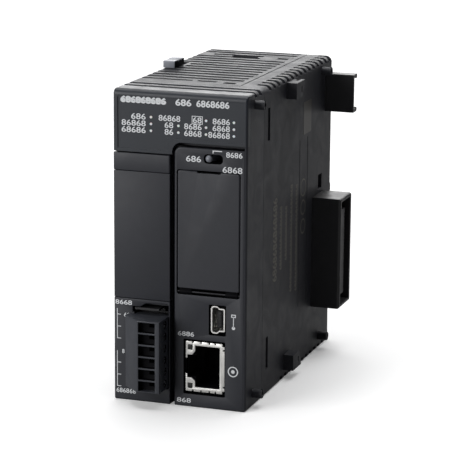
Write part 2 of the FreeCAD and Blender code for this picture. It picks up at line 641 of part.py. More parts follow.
def jack_shield():
    """Plated shell of the network jack, with a broad rim and lamp windows."""
    left, right, low, high = JACK
    outer = slab(left, right, low, high, 0.35, JACK_DEPTH, 0.3)
    mouth = block(JACK_MOUTH[0], JACK_MOUTH[1], -1, 3, JACK_MOUTH[2], JACK_MOUTH[3])
    foot, crown = JACK_NOTCH
    notch = prism_y([(left - 1, foot + 1.3), (left + 0.5, foot + 1.3), (left + 0.5, foot),
                     (JACK_MOUTH[0] - 1.2, foot), (JACK_MOUTH[0] + 0.1, foot - 1.0),
                     (JACK_MOUTH[0] + 0.1, crown + 1.4), (JACK_MOUTH[0] - 1.0, crown),
                     (left + 0.5, crown), (left + 0.5, crown - 1.1), (left - 1, crown - 1.1)],
                    -1, 2.4)
    hollow = block(left + 0.35, right - 0.35, 1.1, JACK_DEPTH - 0.35, low + 0.35, high - 0.35)
    windows = [block(JACK_LAMP_X[0] - 0.1, JACK_LAMP_X[1] + 0.1, -1, 2, z - 0.88, z + 0.88)
               for z in JACK_LAMPS]
    deep = 0.55
    slits = []
    for z in (7.3, 19.3):
        slits.append(block(right - deep, right + 1, -1, 1.6, z - 0.25, z + 0.25))
    for x in (26.4, 29.1, 31.9, 33.9):
        slits.append(block(x - 0.25, x + 0.25, -1, 1.6, high - deep, high + 1))
        slits.append(block(x - 0.25, x + 0.25, -1, 1.6, low - 1, low + deep))
    for z0, z1 in ((low - 1, low + 0.9), (high - 0.9, high + 1)):
        slits.append(block(right - 0.75, right + 1, -1, 1.6, z0, z1))
    return cut(outer, [mouth, notch, hollow] + windows + slits)


def jack_insert():
    """Dark moulded body inside the shell, hollow where the plug goes."""
    left, right, low, high = JACK
    outer = block(left + 0.45, right - 0.45, 1.25, JACK_DEPTH - 0.45, low + 0.45, high - 0.45)
    room = block(JACK_MOUTH[0], JACK_MOUTH[1], 0, 13.8, JACK_MOUTH[2] + 0.1, JACK_MOUTH[3] - 0.1)
    catch = block(left, JACK_MOUTH[0] + 0.1, 0, 9.0, JACK_NOTCH[0] + 0.2, JACK_NOTCH[1] - 0.2)
    lamp_rooms = [block(JACK_LAMP_X[0] - 0.15, JACK_LAMP_X[1] + 0.15, 0, 12.0, z - 0.95, z + 0.95)
                  for z in JACK_LAMPS]
    return cut(outer, [room, catch] + lamp_rooms)


def jack_contacts():
    """Eight sprung contacts along the board side of the jack."""
    middle = (JACK[2] + JACK[3]) / 2
    wires = []
    for index in range(8):
        z = middle + (index - 3.5) * 1.02
        wire = prism_z([(35.1, 3.4), (35.28, 3.4), (35.28, 7.0), (33.6, 12.6), (33.4, 12.5),
                        (35.1, 6.9)], z - 0.2, z + 0.2)
        wires.append(wire)
    return group(wires)


def jack_lamp_guides():
    return group([block(JACK_LAMP_X[0], JACK_LAMP_X[1], 0.45, 11.8, z - 0.8, z + 0.8)
                  for z in JACK_LAMPS])


# ---------------------------------------------------------------- left front column
def serial_panel():
    """Panel round the pluggable terminal."""
    shape = block(0, COLUMN, 0, BOLSTER - 0.1, 0, COM_TOP - GAP)
    shape = soften(shape, X_AXIS, 0.5, lambda middle: near(middle.y, 0) and near(middle.z, 0))
    shape = soften(shape, Z_AXIS, 0.5, lambda middle: near(middle.y, 0) and near(middle.x, 0))
    over = LEDGE[3] + 0.2
    room = block(PLUG[0] - 0.3, PLUG[1] + 0.2, -1, BOLSTER, PLUG[2] - 0.7, over)
    side_room = block(PLUG[0] - 0.9, PLUG[0], -1, BOLSTER, PLUG[3] + 0.4, over)
    ramp = prism_y([(PLUG[0] + 1.5, over - 0.1), (PLUG[0] + 3.6, 32.3), (PLUG[1] - 0.4, 32.6),
                    (PLUG[1] + 0.2, 32.1), (PLUG[1] + 0.2, over - 0.1)], -1, BOLSTER)
    return cut(shape, [room, side_room, ramp])


def terminal_header():
    """Fixed socket that the terminal plug pushes into."""
    left, right, low, high = PLUG
    outer = block(left - 0.1, right + 0.05, HEADER_FACE, 13.0, low - 0.3, high + 0.3)
    room = block(left + 0.8, right - 0.8, HEADER_FACE - 1, 11.6, low + 0.6, high - 0.6)
    ledge = block(LEDGE[0], LEDGE[1], -0.3, HEADER_FACE + 1.6, LEDGE[2], LEDGE[3])
    root = block(LEDGE[0], LEDGE[1], HEADER_FACE + 0.4, 13.0, high + 0.2, LEDGE[3])
    shape = fuse([outer, ledge, root])
    pin_holes = [rod(PIN_X, 11, z, 0.45, 3, Y_AXIS) for z in pole_heights()]
    return cut(shape, [room] + pin_holes)


def terminal_pins():
    return group([rod(PIN_X, HEADER_FACE + 0.6, z, 0.45, 14.0, Y_AXIS) for z in pole_heights()])


def terminal_plug():
    """Plug body with wire entries in front, screw wells on the right and a nose behind."""
    left, right, low, high = PLUG
    rear = HEADER_FACE - PLAY
    shape = prism_z([(PLUG_WING[0], -PLAY), PLUG_WING, (PLUG_SLANT_END, PLUG_FRONT),
                     (right, PLUG_FRONT), (right, rear), (left, rear), (left, -PLAY)], low, high)
    shape = soften(shape, X_AXIS, 0.2, lambda middle: near(middle.y, PLUG_FRONT))
    nose = block(left + 1.1, right - 1.1, HEADER_FACE - 1, 11.0, low + 0.9, high - 0.9)
    shape = shape.fuse(nose)
    tools = []
    half = PLUG_ENTRY_TALL / 2
    room = CLAMP_ROOM_TALL / 2
    hole_left, hole_right, hole_low, hole_high = PLUG_HOLE
    for z in pole_heights():
        tools.append(block(*PLUG_ENTRY, PLUG_FRONT - 1, PLUG_FRONT + PLUG_ENTRY_DEEP,
                           z - half, z + half))
        tools.append(block(hole_left, hole_right, PLUG_FRONT, 3.4, z + hole_low, z + hole_high))
        tools.append(block(*PLUG_ENTRY, -3.0, 3.4, z - room, z + room))
        tools.append(rod(right - 2.2, -2.6, z, 1.25, 3, X_AXIS))
        tools.append(rod(PIN_X, 3.0, z, 0.75, 9, Y_AXIS))
    return cut(shape, tools)


def plug_clamps():
    """Wire clamps behind the entries."""
    cages = []
    for z in pole_heights():
        cage = block(12.2, 16.0, -2.4, 3.0, z - 1.3, z + 1.3)
        cages.append(cage.cut(block(13.4, 15.4, -3, 2.2, z - 0.9, z + 0.9)))
    return group(cages)


def plug_screws():
    """Slotted clamp screws in the right side of the plug."""
    screws = []
    for z in pole_heights():
        head = rod(PLUG[1] - 1.6, -2.6, z, 1.15, 1.2, X_AXIS)
        slot = block(PLUG[1] - 0.9, PLUG[1], -3.8, -1.4, z - 0.2, z + 0.2)
        screws.append(head.cut(slot))
    return group(screws)


def cassette_cover():
    """Blank cover of the option bay, with a skirt and two snap hooks."""
    low = COM_TOP
    high = CASSETTE_TOP
    plate = block(0, COLUMN, 0, BOLSTER - 0.4, low, high)
    plate = soften(plate, Z_AXIS, 0.5, lambda middle: near(middle.y, 0) and near(middle.x, 0))
    skirt = block(3.0, 16.5, BOLSTER - 0.5, 11.0, low + 3.2, high - 3.0)
    room = block(4.2, 15.3, BOLSTER - 0.4, 12.0, low + 4.4, high - 4.2)
    hooks = []
    for z in (low + 3.2 - 0.35, high - 3.0 - 0.15):
        hooks.append(block(8.0, 11.5, 5.4, 6.6, z, z + 0.5))
    return fuse([plate, skirt.cut(room)] + hooks)


# ---------------------------------------------------------------- electronics
BOARD_SCREWS = ((24.0, 93.0), (64.0, 93.0), (28.0, 28.0), (62.0, 12.0))


def main_board():
    """Upright board beside the right wall."""
    shape = block(MAIN_BOARD_X, MAIN_BOARD_X + BOARD, 5.2, 80.0, 4.0, 76.0)
    upper = block(MAIN_BOARD_X, MAIN_BOARD_X + BOARD, 17.0, 80.0, 70.0, 96.0)
    shape = fuse([shape, upper])
    holes = [rod(MAIN_BOARD_X - 1, y, z, 1.6, 4, X_AXIS) for y, z in BOARD_SCREWS]
    return cut(shape, holes)


def left_board():
    """Upright power and serial board inside the left side."""
    return block(LEFT_BOARD_X, LEFT_BOARD_X + BOARD, 14.0, 80.0, 8.0, 92.0)


def board_screws():
    screws = []
    for y, z in BOARD_SCREWS:
        head = rod(MAIN_BOARD_X - 1.6, y, z, 2.6, 1.6, X_AXIS)
        drive = rod(MAIN_BOARD_X - 1.7, y, z, 0.9, 1.0, X_AXIS)
        shank = rod(MAIN_BOARD_X, y, z, 1.0, 4.2, X_AXIS)
        screws.append(head.fuse(shank).cut(drive).removeSplitter())
    return group(screws)


def board_connector():
    """Stacking connector between the two boards."""
    body = block(LEFT_BOARD_X + BOARD, MAIN_BOARD_X, 66.0, 71.0, 62.0, 84.0)
    return cut(body, [block(24.0, 26.0, 65.0, 66.6, 61.0, 85.0)])


def processor():
    return block(MAIN_BOARD_X - 2.2, MAIN_BOARD_X, 44.0, 61.0, 26.0, 43.0)


def heat_spreader():
    base = block(31.0, MAIN_BOARD_X - 2.2, 43.0, 62.0, 25.0, 44.0)
    fins = [block(30.0, 33.6, y, y + 1.6, 24.0, 45.0) for y in (44.8, 48.4, 52.0, 55.6, 59.2)]
    return cut(base, fins)


def memory_chips():
    return group([block(MAIN_BOARD_X - 1.2, MAIN_BOARD_X, 48.0, 60.0, z, z + 9.0)
                  for z in (50.0, 62.0)])


def network_transformer():
    return block(MAIN_BOARD_X - 5.5, MAIN_BOARD_X, 18.5, 33.0, 6.0, 18.0)


def capacitors():
    face = LEFT_BOARD_X + BOARD
    return group([rod(face, y, z, 4.0, 11.0, X_AXIS)
                  for y, z in ((26.0, 20.0), (36.0, 20.0), (46.0, 20.0))])


def power_inductor():
    face = LEFT_BOARD_X + BOARD
    shape = block(face, face + 5.0, 30.0, 40.0, 32.0, 42.0)
    return soften(shape, X_AXIS, 1.5, lambda middle: True)


def cell_holder():
    face = LEFT_BOARD_X + BOARD
    cup = rod(face, 52.0, 52.0, 11.4, 4.6, X_AXIS)
    room = rod(face + 1.0, 52.0, 52.0, 10.2, 4, X_AXIS)
    lead = block(face + 1.0, face + 6, 40.0, 52.0, 44.0, 60.0)
    return cut(cup, [room, lead])


def backup_cell():
    return rod(LEFT_BOARD_X + BOARD + 1.1, 52.0, 52.0, 10.0, 3.2, X_AXIS)


def cassette_connector():
    """Socket that an option cassette would plug into."""
    body = block(4.8, LEFT_BOARD_X, 17.0, 25.0, 44.0, 64.0)
    return cut(body, [block(6.4, 10.6, 16.0, 23.0, 45.5, 62.5)])


# ---------------------------------------------------------------- side connections
def bus_shroud():
    """Rectangular shroud of the expansion bus, standing out of the right side."""
    front, rear, low, high = BUS
    inside = WIDTH - WALL
    tube = block(inside, WIDTH + BUS_REACH, front + 0.05, rear - 0.05, low + 0.05, high - 0.05)
    tube = soften(tube, Y_AXIS, 0.8, lambda middle: near(middle.x, WIDTH + BUS_REACH))
    flange = block(inside - 1.2, inside - 0.1, front - 1.4, rear - 1.2, low - 1.4, high + 1.4)
    tube = fuse([tube, flange, block(inside - 0.2, inside + 0.2, front + 0.4, rear - 0.4,
                                     low + 0.4, high - 0.4)])
    room = block(inside + 1.0, WIDTH + BUS_REACH + 1, front + BUS_WALL, rear - BUS_WALL,
                 low + BUS_WALL, high - BUS_WALL)
    passage = block(inside - 3, inside + 2, TONGUE[0] - 0.1, TONGUE[1] + 0.1,
                    TONGUE[2] - 0.1, TONGUE[3] + 0.1)
    corner = prism_z([(WIDTH + BUS_REACH - 0.9, front), (WIDTH + BUS_REACH + 0.1, front),
                      (WIDTH + BUS_REACH + 0.1, front + 0.5)], low, high)
    return cut(tube, [room, passage, corner])


def bus_tongue():
    """Contact block inside the shroud."""
    front, rear, low, high = TONGUE
    body = block(MAIN_BOARD_X + BOARD, WIDTH + BUS_REACH - 1.0, front, rear, low, high)
    rows = []
    for index in range(23):
        z = low + 2.0 + index * 1.16
        rows.append(block(45.0, WIDTH + BUS_REACH, front - 0.1, front + 0.35, z - 0.3, z + 0.3))
        rows.append(block(45.0, WIDTH + BUS_REACH, rear - 0.35, rear + 0.1, z - 0.3, z + 0.3))
    return cut(body, rows)


def bus_contacts():
    """Plated contacts lying in the tongue's grooves."""
    front, rear, low, high = TONGUE
    strips = []
    for index in range(23):
        z = low + 2.0 + index * 1.16
        for y0, y1 in ((front + 0.08, front + 0.35), (rear - 0.35, rear - 0.08)):
            strips.append(block(45.1, WIDTH + BUS_REACH - 1.2, y0, y1, z - 0.24, z + 0.24))
    return group(strips)


def left_bus_socket():
    """Socket in the left side that takes a neighbour's tongue."""
    front, rear, low, high = TONGUE
    body = block(1.6, 12.3, front - 0.5, rear + 0.5, low - 0.7, high + 0.7)
    slot = block(0, 10.6, front + 0.7, rear - 0.7, low + 0.5, high - 0.5)
    body = body.cut(slot)
    return body.removeSplitter()


def alignment_channel():
    """C-shaped guide at the rear of the right side, open to the rear."""
    front, rear, low, high = GUIDE
    inside = WIDTH - WALL
    tip = WIDTH + BUS_REACH - 0.1
    web = block(inside, tip, front, front + GUIDE_WALL, low, high)
    web = soften(web, Y_AXIS, 0.6, lambda middle: near(middle.x, tip))
    top = block(inside, tip, front, rear, high - GUIDE_WALL, high)
    foot = block(inside, tip, front, rear, low, low + GUIDE_WALL)
    bead_start = WIDTH + 0.2
    beads = [rod(bead_start, rear - 0.55, z, 0.75, tip - bead_start, X_AXIS)
             for z in (low + 0.75, high - 0.75)]
    plate = block(inside - 1.4, inside - 0.05, front - 1.2, rear + 1.2, low - 1.2, high + 1.2)
    neck = block(inside - 0.1, inside + 0.1, front + 0.1, rear - 0.1, high - 1.0, high - 0.1)
    neck_low = block(inside - 0.1, inside + 0.1, front + 0.1, rear - 0.1, low + 0.1, low + 1.0)
    return fuse([web, top, foot, plate, neck, neck_low] + beads)


# ---------------------------------------------------------------- moving hardware
def lock_lever(tab_foot, hook_foot):
    """Sliding lever: grip tab outside, neck through the wall, catch plate inside."""
    left, right, front, rear = LEVER
    tall = LEVER_TALL if tab_foot > HEIGHT else LEVER_SUNK - 0.4
    tab = block(left, right, front, rear, tab_foot, tab_foot + tall)
    tab = soften(tab, X_AXIS, 0.4, lambda middle: middle.z > tab_foot + 0.5)
    top = tab_foot + tall
    grips = [block(left - 1, right + 1, y, y + 0.6, top - 0.35, top + 1)
             for y in (front + 3.2, front + 4.6, front + 6.0)]
    under = HEIGHT - WALL - LEVER_PAD - PLAY
    neck_left, neck_right, neck_front, neck_rear = LEVER_NECK
    neck = block(neck_left, neck_right, neck_front, neck_rear, under - 1.0, tab_foot + 0.4)
    bridge = block(neck_left, 6.6, neck_front, neck_rear, under - 1.5, under)
    plate = block(5.2, 6.6, HOOK[0] - 1, neck_rear, hook_foot - 0.5, under)
    window = block(4, 7, HOOK[0] + 1, HOOK[1] - 1.5, hook_foot + 0.9, under - 1.3)
    return fuse([tab.cut(grips), neck, bridge, plate.cut(window)])


def lock_lever_top():
    return lock_lever(HEIGHT + 0.15, HOOK[2])


def lock_lever_bottom():
    """The lower lever's tab is thinner and sunk in a shallow recess in the foot."""
    return mirrored_height(lock_lever(HEIGHT - LEVER_SUNK + 0.15, HOOK[2] - HOOK_INSET))


def rail_latch():
    """Spring-loaded slide whose tip holds the lower flange of the rail."""
    left, right, front, rear = LATCH
    body = block(left, right, front, rear, LATCH_FOOT, LATCH_TIP)
    slope = prism_x([(rear + 0.1, LATCH_TIP - 1.9), (rear + 0.1, LATCH_TIP + 0.1),
                     (front + 1.2, LATCH_TIP + 0.1)], left - 1, right + 1)
    window = block(17.3, 22.7, front - 1, rear + 1,
                   SPRING_LOW - 1.0 - LATCH_TRAVEL - 1.4 + LATCH_TRAVEL, SPRING_HIGH + 0.1)
    pull = block(17.0, 23.0, front + 1.0, rear - 1.0, LATCH_FOOT - 1, LATCH_FOOT + 1.6)
    return cut(body, [slope, window, pull])


def latch_spring():
    """Compression spring between the case's shelf and the latch."""
    x = (LATCH[0] + LATCH[1]) / 2
    y = (LATCH[2] + LATCH[3]) / 2
    wire = 0.25
    radius = 1.3
    height = SPRING_HIGH - SPRING_LOW - 2 * wire
    helix = Part.makeHelix(height / 6.0, height, radius)
    circle = Part.Wire([Part.makeCircle(wire, Vector(radius, 0, 0), Y_AXIS)])
    spring = Part.Wire(helix.Edges).makePipeShell([circle], True, True)
    spring.translate(Vector(x, y, SPRING_LOW + wire))
    return spring


# ---------------------------------------------------------------- node table
PIECES = {
    "case_left": case_left,
    "case_right": case_right,
    "front_frame": front_frame,
    "cassette_band": cassette_band,
    "display_bezel": display_bezel,
    "light_guides": light_guides,
    "lamp_board": lamp_board,
    "lamps": lamps,
    "right_panel": right_panel,
    "card_door": card_door,
    "card_door_pin": card_door_pin,
    "card_tray": card_tray,
    "card_socket": card_socket,
    "mode_switch_body": mode_switch_body,
    "mode_switch_lever": mode_switch_lever,
    "usb_shell": usb_shell,
    "usb_tongue": usb_tongue,
    "usb_contacts": usb_contacts,
    "jack_shield": jack_shield,
    "jack_insert": jack_insert,
    "jack_contacts": jack_contacts,
    "jack_lamp_guides": jack_lamp_guides,
    "serial_panel": serial_panel,
    "terminal_header": terminal_header,
    "terminal_pins": terminal_pins,
    "terminal_plug": terminal_plug,
    "plug_clamps": plug_clamps,
    "plug_screws": plug_screws,
    "cassette_cover": cassette_cover,
    "cassette_connector": cassette_connector,
    "main_board": main_board,
    "left_board": left_board,
    "board_connector": board_connector,
    "board_screws": board_screws,
    "processor": processor,
    "heat_spreader": heat_spreader,
    "memory_chips": memory_chips,
    "network_transformer": network_transformer,
    "capacitors": capacitors,
    "power_inductor": power_inductor,
    "cell_holder": cell_holder,
    "backup_cell": backup_cell,
    "bus_shroud": bus_shroud,
    "bus_tongue": bus_tongue,
    "bus_contacts": bus_contacts,
    "left_bus_socket": left_bus_socket,
    "alignment_channel": alignment_channel,
    "lock_lever_top": lock_lever_top,
    "lock_lever_bottom": lock_lever_bottom,
    "rail_latch": rail_latch,
    "latch_spring": latch_spring,
}


def main():
    os.makedirs("parts", exist_ok=True)
    for name, make in PIECES.items():
        shape = make()
        shape.translate(Vector(-CENTRE_X, -CENTRE_Y, 0))
        solids = len(shape.Solids)
        print(name, "solids", solids, "valid", shape.isValid(), "volume", round(shape.Volume, 1))
        shape.exportStep("parts/" + name + ".step")


main()
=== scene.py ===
"""Looks of a slim rail-mounted controller module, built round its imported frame.

Every length is in metres unless a name or comment says millimetres. The frame gives the module's
places; millimetre offsets run from the housing's lower front left corner.
"""

import json
import math

import bmesh
import bpy
from bpy.props import FloatProperty, FloatVectorProperty, PointerProperty
from mathutils import Matrix, Quaternion, Vector

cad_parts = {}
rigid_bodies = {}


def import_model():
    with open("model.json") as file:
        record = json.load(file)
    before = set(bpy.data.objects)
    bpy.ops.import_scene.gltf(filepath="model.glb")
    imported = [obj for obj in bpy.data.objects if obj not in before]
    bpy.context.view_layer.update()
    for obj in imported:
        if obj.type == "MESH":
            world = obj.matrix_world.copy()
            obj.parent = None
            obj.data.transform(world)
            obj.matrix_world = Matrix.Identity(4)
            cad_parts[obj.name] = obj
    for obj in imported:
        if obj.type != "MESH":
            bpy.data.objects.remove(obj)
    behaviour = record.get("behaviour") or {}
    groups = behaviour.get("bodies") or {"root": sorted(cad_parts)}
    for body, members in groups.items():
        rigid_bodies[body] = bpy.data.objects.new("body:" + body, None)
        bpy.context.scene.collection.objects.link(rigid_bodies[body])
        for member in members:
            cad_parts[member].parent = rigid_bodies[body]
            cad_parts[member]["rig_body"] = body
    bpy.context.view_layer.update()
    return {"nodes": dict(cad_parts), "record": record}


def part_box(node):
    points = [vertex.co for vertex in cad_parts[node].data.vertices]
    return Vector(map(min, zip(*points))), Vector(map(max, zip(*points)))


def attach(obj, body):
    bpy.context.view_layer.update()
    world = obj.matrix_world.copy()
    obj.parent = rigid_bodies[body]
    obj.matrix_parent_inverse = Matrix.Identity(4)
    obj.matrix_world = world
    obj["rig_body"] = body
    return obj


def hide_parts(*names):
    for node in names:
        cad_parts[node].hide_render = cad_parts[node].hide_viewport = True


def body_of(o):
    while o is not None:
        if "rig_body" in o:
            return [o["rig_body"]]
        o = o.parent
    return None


bl_info = {
    "name": "Controller module looks",
    "version": (1, 0, 0),
    "blender": (4, 5, 0),
    "location": "View3D > Sidebar > Module",
    "description": "Finishes and fine pieces of a rail-mounted controller module",
    "category": "Object",
}

MM = 0.001
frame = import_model()
CORNER = Vector((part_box("case_left")[0].x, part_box("right_panel")[0].y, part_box("front_frame")[0].z))
CASE_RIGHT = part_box("display_bezel")[1].x
NODE_SLOTS = {part["node"]: part["material_slot"] for part in frame["record"]["subparts"]}

# Copies with rounded edges: points closer than WELD are joined, faces turned less than FLAT_ANGLE
# are merged, and edges sharper than SHARP_ANGLE are rounded in EDGE_STEPS steps.
WELD = 0.002 * MM
FLAT_ANGLE = math.radians(0.5)
SHARP_ANGLE = math.radians(28)
EDGE_STEPS = 3

# Faces painted black as shade: the strip of the card door above its pin, the depth at which walls
# take painted shade, the skin round the plug's wire pockets and the share of its width left of them,
# the nodes with shaded walls by edge rounding in millimetres, and how squarely a shaded cheek faces
# right.
HINGE_COVER = 0.95 * MM
PANEL_SKIN = 0.7 * MM
POCKET_SKIN = 0.4 * MM
PLUG_SOLID_SHARE = 0.45
SHADE_PAINTED_BEHIND = {"right_panel": 0.08, "jack_shield": 0.04}
FACES_RIGHT = 0.9

# The printed field of the bezel lies this far behind the front face.
FIELD_SUNK = 0.25 * MM

# Lamps: half the width of one, their grid, and the run of digits beside each, by column and row.
LAMP_HALF = 0.7 * MM
LAMP_ROWS = 3
LAMP_COLUMNS = 4
LAMP_DIGITS = ((3, 5, 5), (5, 2, 2), (2, 4, 4), (4, 4, 5))
LAMP_DIGIT_PITCH = (1.60, 1.42, 1.42, 1.40)
LAMP_DIGIT_GAP = (1.75, 1.7, 1.45, 1.3)
LAMP_FRAME = 0.35
UNLIT_LAMP = (1, 0)
FRAMED_LAMP = (2, 0)

# Other marks, in millimetres from the housing's lower front left corner. Header runs are left,
# right, digits and boldness. Bracket ticks run from top to bottom.
HEADER_RUNS = ((2.4, 17.5, 9, 0.16), (20.5, 25.7, 3, 0.06), (27.3, 38.0, 7, 0.06))
HEADER_BASE = 95.8
HEADER_CAP = 2.15
BRACKETS = ((1.0, (29.9, 27.9, 23.97, 20.06)), (0.93, (16.1, 12.13, 8.16, 4.3)))
BRACKET_RIGHT = 2.35
BRACKET_LINE = 0.22
DIGIT_BOLD = 0.02

# Marks on the right side, in millimetres behind the front face and above the foot. Columns are
# base, bottom, top and digits; rings are height and radius.
SIDE_COLUMNS = ((35.6, 38.0, 59.0, 16), (41.0, 40.0, 58.0, 14), (46.6, 28.0, 64.0, 26),
                (52.2, 27.0, 63.0, 26))
SIDE_COLUMN_CAP = 2.3
SIDE_RINGS = ((60.5, 3.0), (53.8, 2.6), (47.4, 2.6))
SIDE_RING_BACK = 58.3
MOULD_LINES = (54.0, 62.6)

# Small parts of the boards, in millimetres: size across, along and up, and edge rounding.
RESISTOR_BODY = (0.50, 1.10, 0.80)
RESISTOR_END = (0.56, 0.36, 0.86)
RESISTOR_EDGE = 0.06
CHIP_THICK = 1.5
CHIP_TALL = 4.0
CHIP_EDGE = 0.15
LEG_PITCH = 1.27
LEG_WIDE = 0.4
LEG_EDGE = 0.05
SOCKET_SLOT = (0.42, 0.08, 0.5)
SOCKET_SLOT_EDGE = 0.03
SOCKET_CONTACTS = 5

# The camera's aim point in millimetres from the corner, and the soft lights in metres: place,
# aim, width, height and the setting that holds the power.
CAMERA_AIM = (24.44, 40.01, 48.73)
LIGHTS = {
    "top_light": ((0.0, 0.15, 0.95), (0, 0, 0.05), 1.0, 1.0, "key_power"),
    "front_light": ((-0.75, -0.95, 0.40), (0, 0, 0.05), 0.8, 0.8, "fill_power"),
    "back_light": ((-0.35, 1.3, 0.42), (0, 0, 0.08), 1.3, 0.6, "back_power"),
}
FLOOR_HALF = 12.0
FLOOR_GAP = 0.02 * MM

# CAD nodes whose finish differs from their record slot. The plug clamps' darkened tin is painted shade.
OWN_FINISH = {
    "card_door_pin": "blackened_steel",
    "jack_lamp_guides": "smoke_guide",
    "plug_clamps": "dull_tin",
    "usb_tongue": "tongue_grey",
    "usb_contacts": "blackened_steel",
    "jack_insert": "deep_black",
    "card_tray": "deep_black",
    "mode_switch_body": "deep_black",
}

# CAD nodes shown as copies with rounded edges, by radius in millimetres.
ROUNDED = {
    0.18: ("cassette_band", "cassette_cover", "serial_panel", "rail_latch", "card_tray",
           "board_connector", "network_transformer", "left_bus_socket"),
    0.10: ("lock_lever_bottom", "card_socket", "processor", "heat_spreader",
           "memory_chips", "capacitors", "main_board", "left_board", "cassette_connector"),
    0.05: ("plug_screws", "plug_clamps", "usb_tongue", "bus_tongue", "lamps", "lamp_board",
           "jack_lamp_guides"),
}


# ---------------------------------------------------------------- settings
class PlasticSettings(bpy.types.PropertyGroup):
    """Colours and surface of the moulded parts."""

    housing: FloatVectorProperty(
        name="Housing", description="Charcoal of the case halves",
        default=(0.0160, 0.0170, 0.0225), subtype="COLOR", min=0, max=1)
    front: FloatVectorProperty(
        name="Front", description="Charcoal of the front panels",
        default=(0.0165, 0.018, 0.0245), subtype="COLOR", min=0, max=1)
    bezel: FloatVectorProperty(
        name="Bezel", description="Slightly blue charcoal of the display bezel",
        default=(0.0100, 0.0135, 0.0205), subtype="COLOR", min=0, max=1)
    dark: FloatVectorProperty(
        name="Dark parts", description="Black of connectors and inner parts",
        default=(0.010, 0.010, 0.012), subtype="COLOR", min=0, max=1)
    terminal: FloatVectorProperty(
        name="Terminal", description="Slate of the pluggable terminal",
        default=(0.030, 0.033, 0.042), subtype="COLOR", min=0, max=1)
    lever: FloatVectorProperty(
        name="Levers", description="Light grey of the levers",
        default=(0.21, 0.22, 0.25), subtype="COLOR", min=0, max=1)
    grain: FloatProperty(
        name="Grain size", description="Width of the moulded grain",
        default=0.28 * MM, subtype="DISTANCE", min=0.05 * MM, max=2 * MM, precision=5)
    grain_depth: FloatProperty(
        name="Grain depth", description="Depth of the moulded grain",
        default=0.014 * MM, subtype="DISTANCE", min=0, max=0.1 * MM, precision=6)
    edge_radius: FloatProperty(
        name="Edge radius", description="Rounding that moulded edges show",
        default=0.13 * MM, subtype="DISTANCE", min=0, max=1 * MM, precision=5)


class PrintSettings(bpy.types.PropertyGroup):
    """Printed marks."""

    ink: FloatVectorProperty(
        name="Ink", description="White of the front marks",
        default=(0.80, 0.82, 0.84), subtype="COLOR", min=0, max=1)
    faint: FloatVectorProperty(
        name="Side marks", description="Grey of the marks on the right side",
        default=(0.150, 0.140, 0.120), subtype="COLOR", min=0, max=1)
    thickness: FloatProperty(
        name="Ink thickness", description="How far the ink stands proud",
        default=0.02 * MM, subtype="DISTANCE", min=0.005 * MM, max=0.1 * MM, precision=6)
    cap: FloatProperty(
        name="Digit height", description="Height of the digits beside the lamps",
        default=1.85 * MM, subtype="DISTANCE", min=0.5 * MM, max=4 * MM, precision=5)


class StageSettings(bpy.types.PropertyGroup):
    """Floor, lights and camera."""

    floor: FloatVectorProperty(
        name="Floor", description="Colour of the pale floor",
        default=(0.93, 0.93, 0.93), subtype="COLOR", min=0, max=1)
    bounce: FloatProperty(
        name="Floor bounce", description="Share of light that the floor throws back on the module",
        default=0.16, min=0, max=1)
    mirrored: FloatProperty(
        name="Floor mirrored", description="How much of the pale floor shows in shiny surfaces",
        default=0.32, min=0, max=1)
    glow: FloatProperty(
        name="Floor glow", description="Light added to the floor that only the camera sees",
        default=0.20, min=0, max=1)
    ambient: FloatProperty(
        name="Surroundings", description="Brightness of the light from all round",
        default=0.06, min=0, max=1)
    azimuth: FloatProperty(
        name="Azimuth", description="Camera's turn round the module",
        default=math.radians(18.98), subtype="ANGLE")
    elevation: FloatProperty(
        name="Elevation", description="Camera's angle above the horizon",
        default=math.radians(13.03), subtype="ANGLE")
    roll: FloatProperty(
        name="Roll", description="Camera's tilt about its own axis",
        default=math.radians(0.38), subtype="ANGLE")
    distance: FloatProperty(
        name="Distance", description="Camera's distance from its aim point",
        default=0.7194, unit="LENGTH", min=0.1)
    lens: FloatProperty(
        name="Lens", description="Focal length in millimetres on a 36 mm sensor",
        default=172.94, min=20, max=400)
    key_power: FloatProperty(
        name="Top light", description="Power of the soft light overhead", default=9.5, unit="POWER")
    fill_power: FloatProperty(
        name="Front light", description="Power of the soft light at the front left",
        default=12.0, unit="POWER")
    back_power: FloatProperty(
        name="Back light", description="Power of the soft light low behind", default=9.0,
        unit="POWER")


# ---------------------------------------------------------------- node helpers
def put(tree, kind, inputs=None, **settings):
    """Adds a shader node, sets its properties, and fills or links its inputs."""
    made = tree.nodes.new("ShaderNode" + kind)
    for name, value in settings.items():
        setattr(made, name, value)
    for key, value in (inputs or {}).items():
        if isinstance(value, bpy.types.NodeSocket):
            tree.links.new(value, made.inputs[key])
        else:
            made.inputs[key].default_value = value
    return made


def new_group(name, inputs, outputs):
    """An empty shader group; inputs are (name, default) numbers, outputs are names."""
    tree = bpy.data.node_groups.new(name, "ShaderNodeTree")
    for label, default in inputs:
        socket = tree.interface.new_socket(label, in_out="INPUT", socket_type="NodeSocketFloat")
        socket.default_value = default
    for label in outputs:
        tree.interface.new_socket(label, in_out="OUTPUT", socket_type="NodeSocketFloat")
    return tree, tree.nodes.new("NodeGroupInput"), tree.nodes.new("NodeGroupOutput")


def maths(tree, operation, first, second=0.0, third=0.0):
    """One arithmetic node on numbers or sockets."""
    return put(tree, "Math", {0: first, 1: second, 2: third}, operation=operation).outputs[0]


def object_place(tree):
    return put(tree, "TexCoord").outputs["Object"]


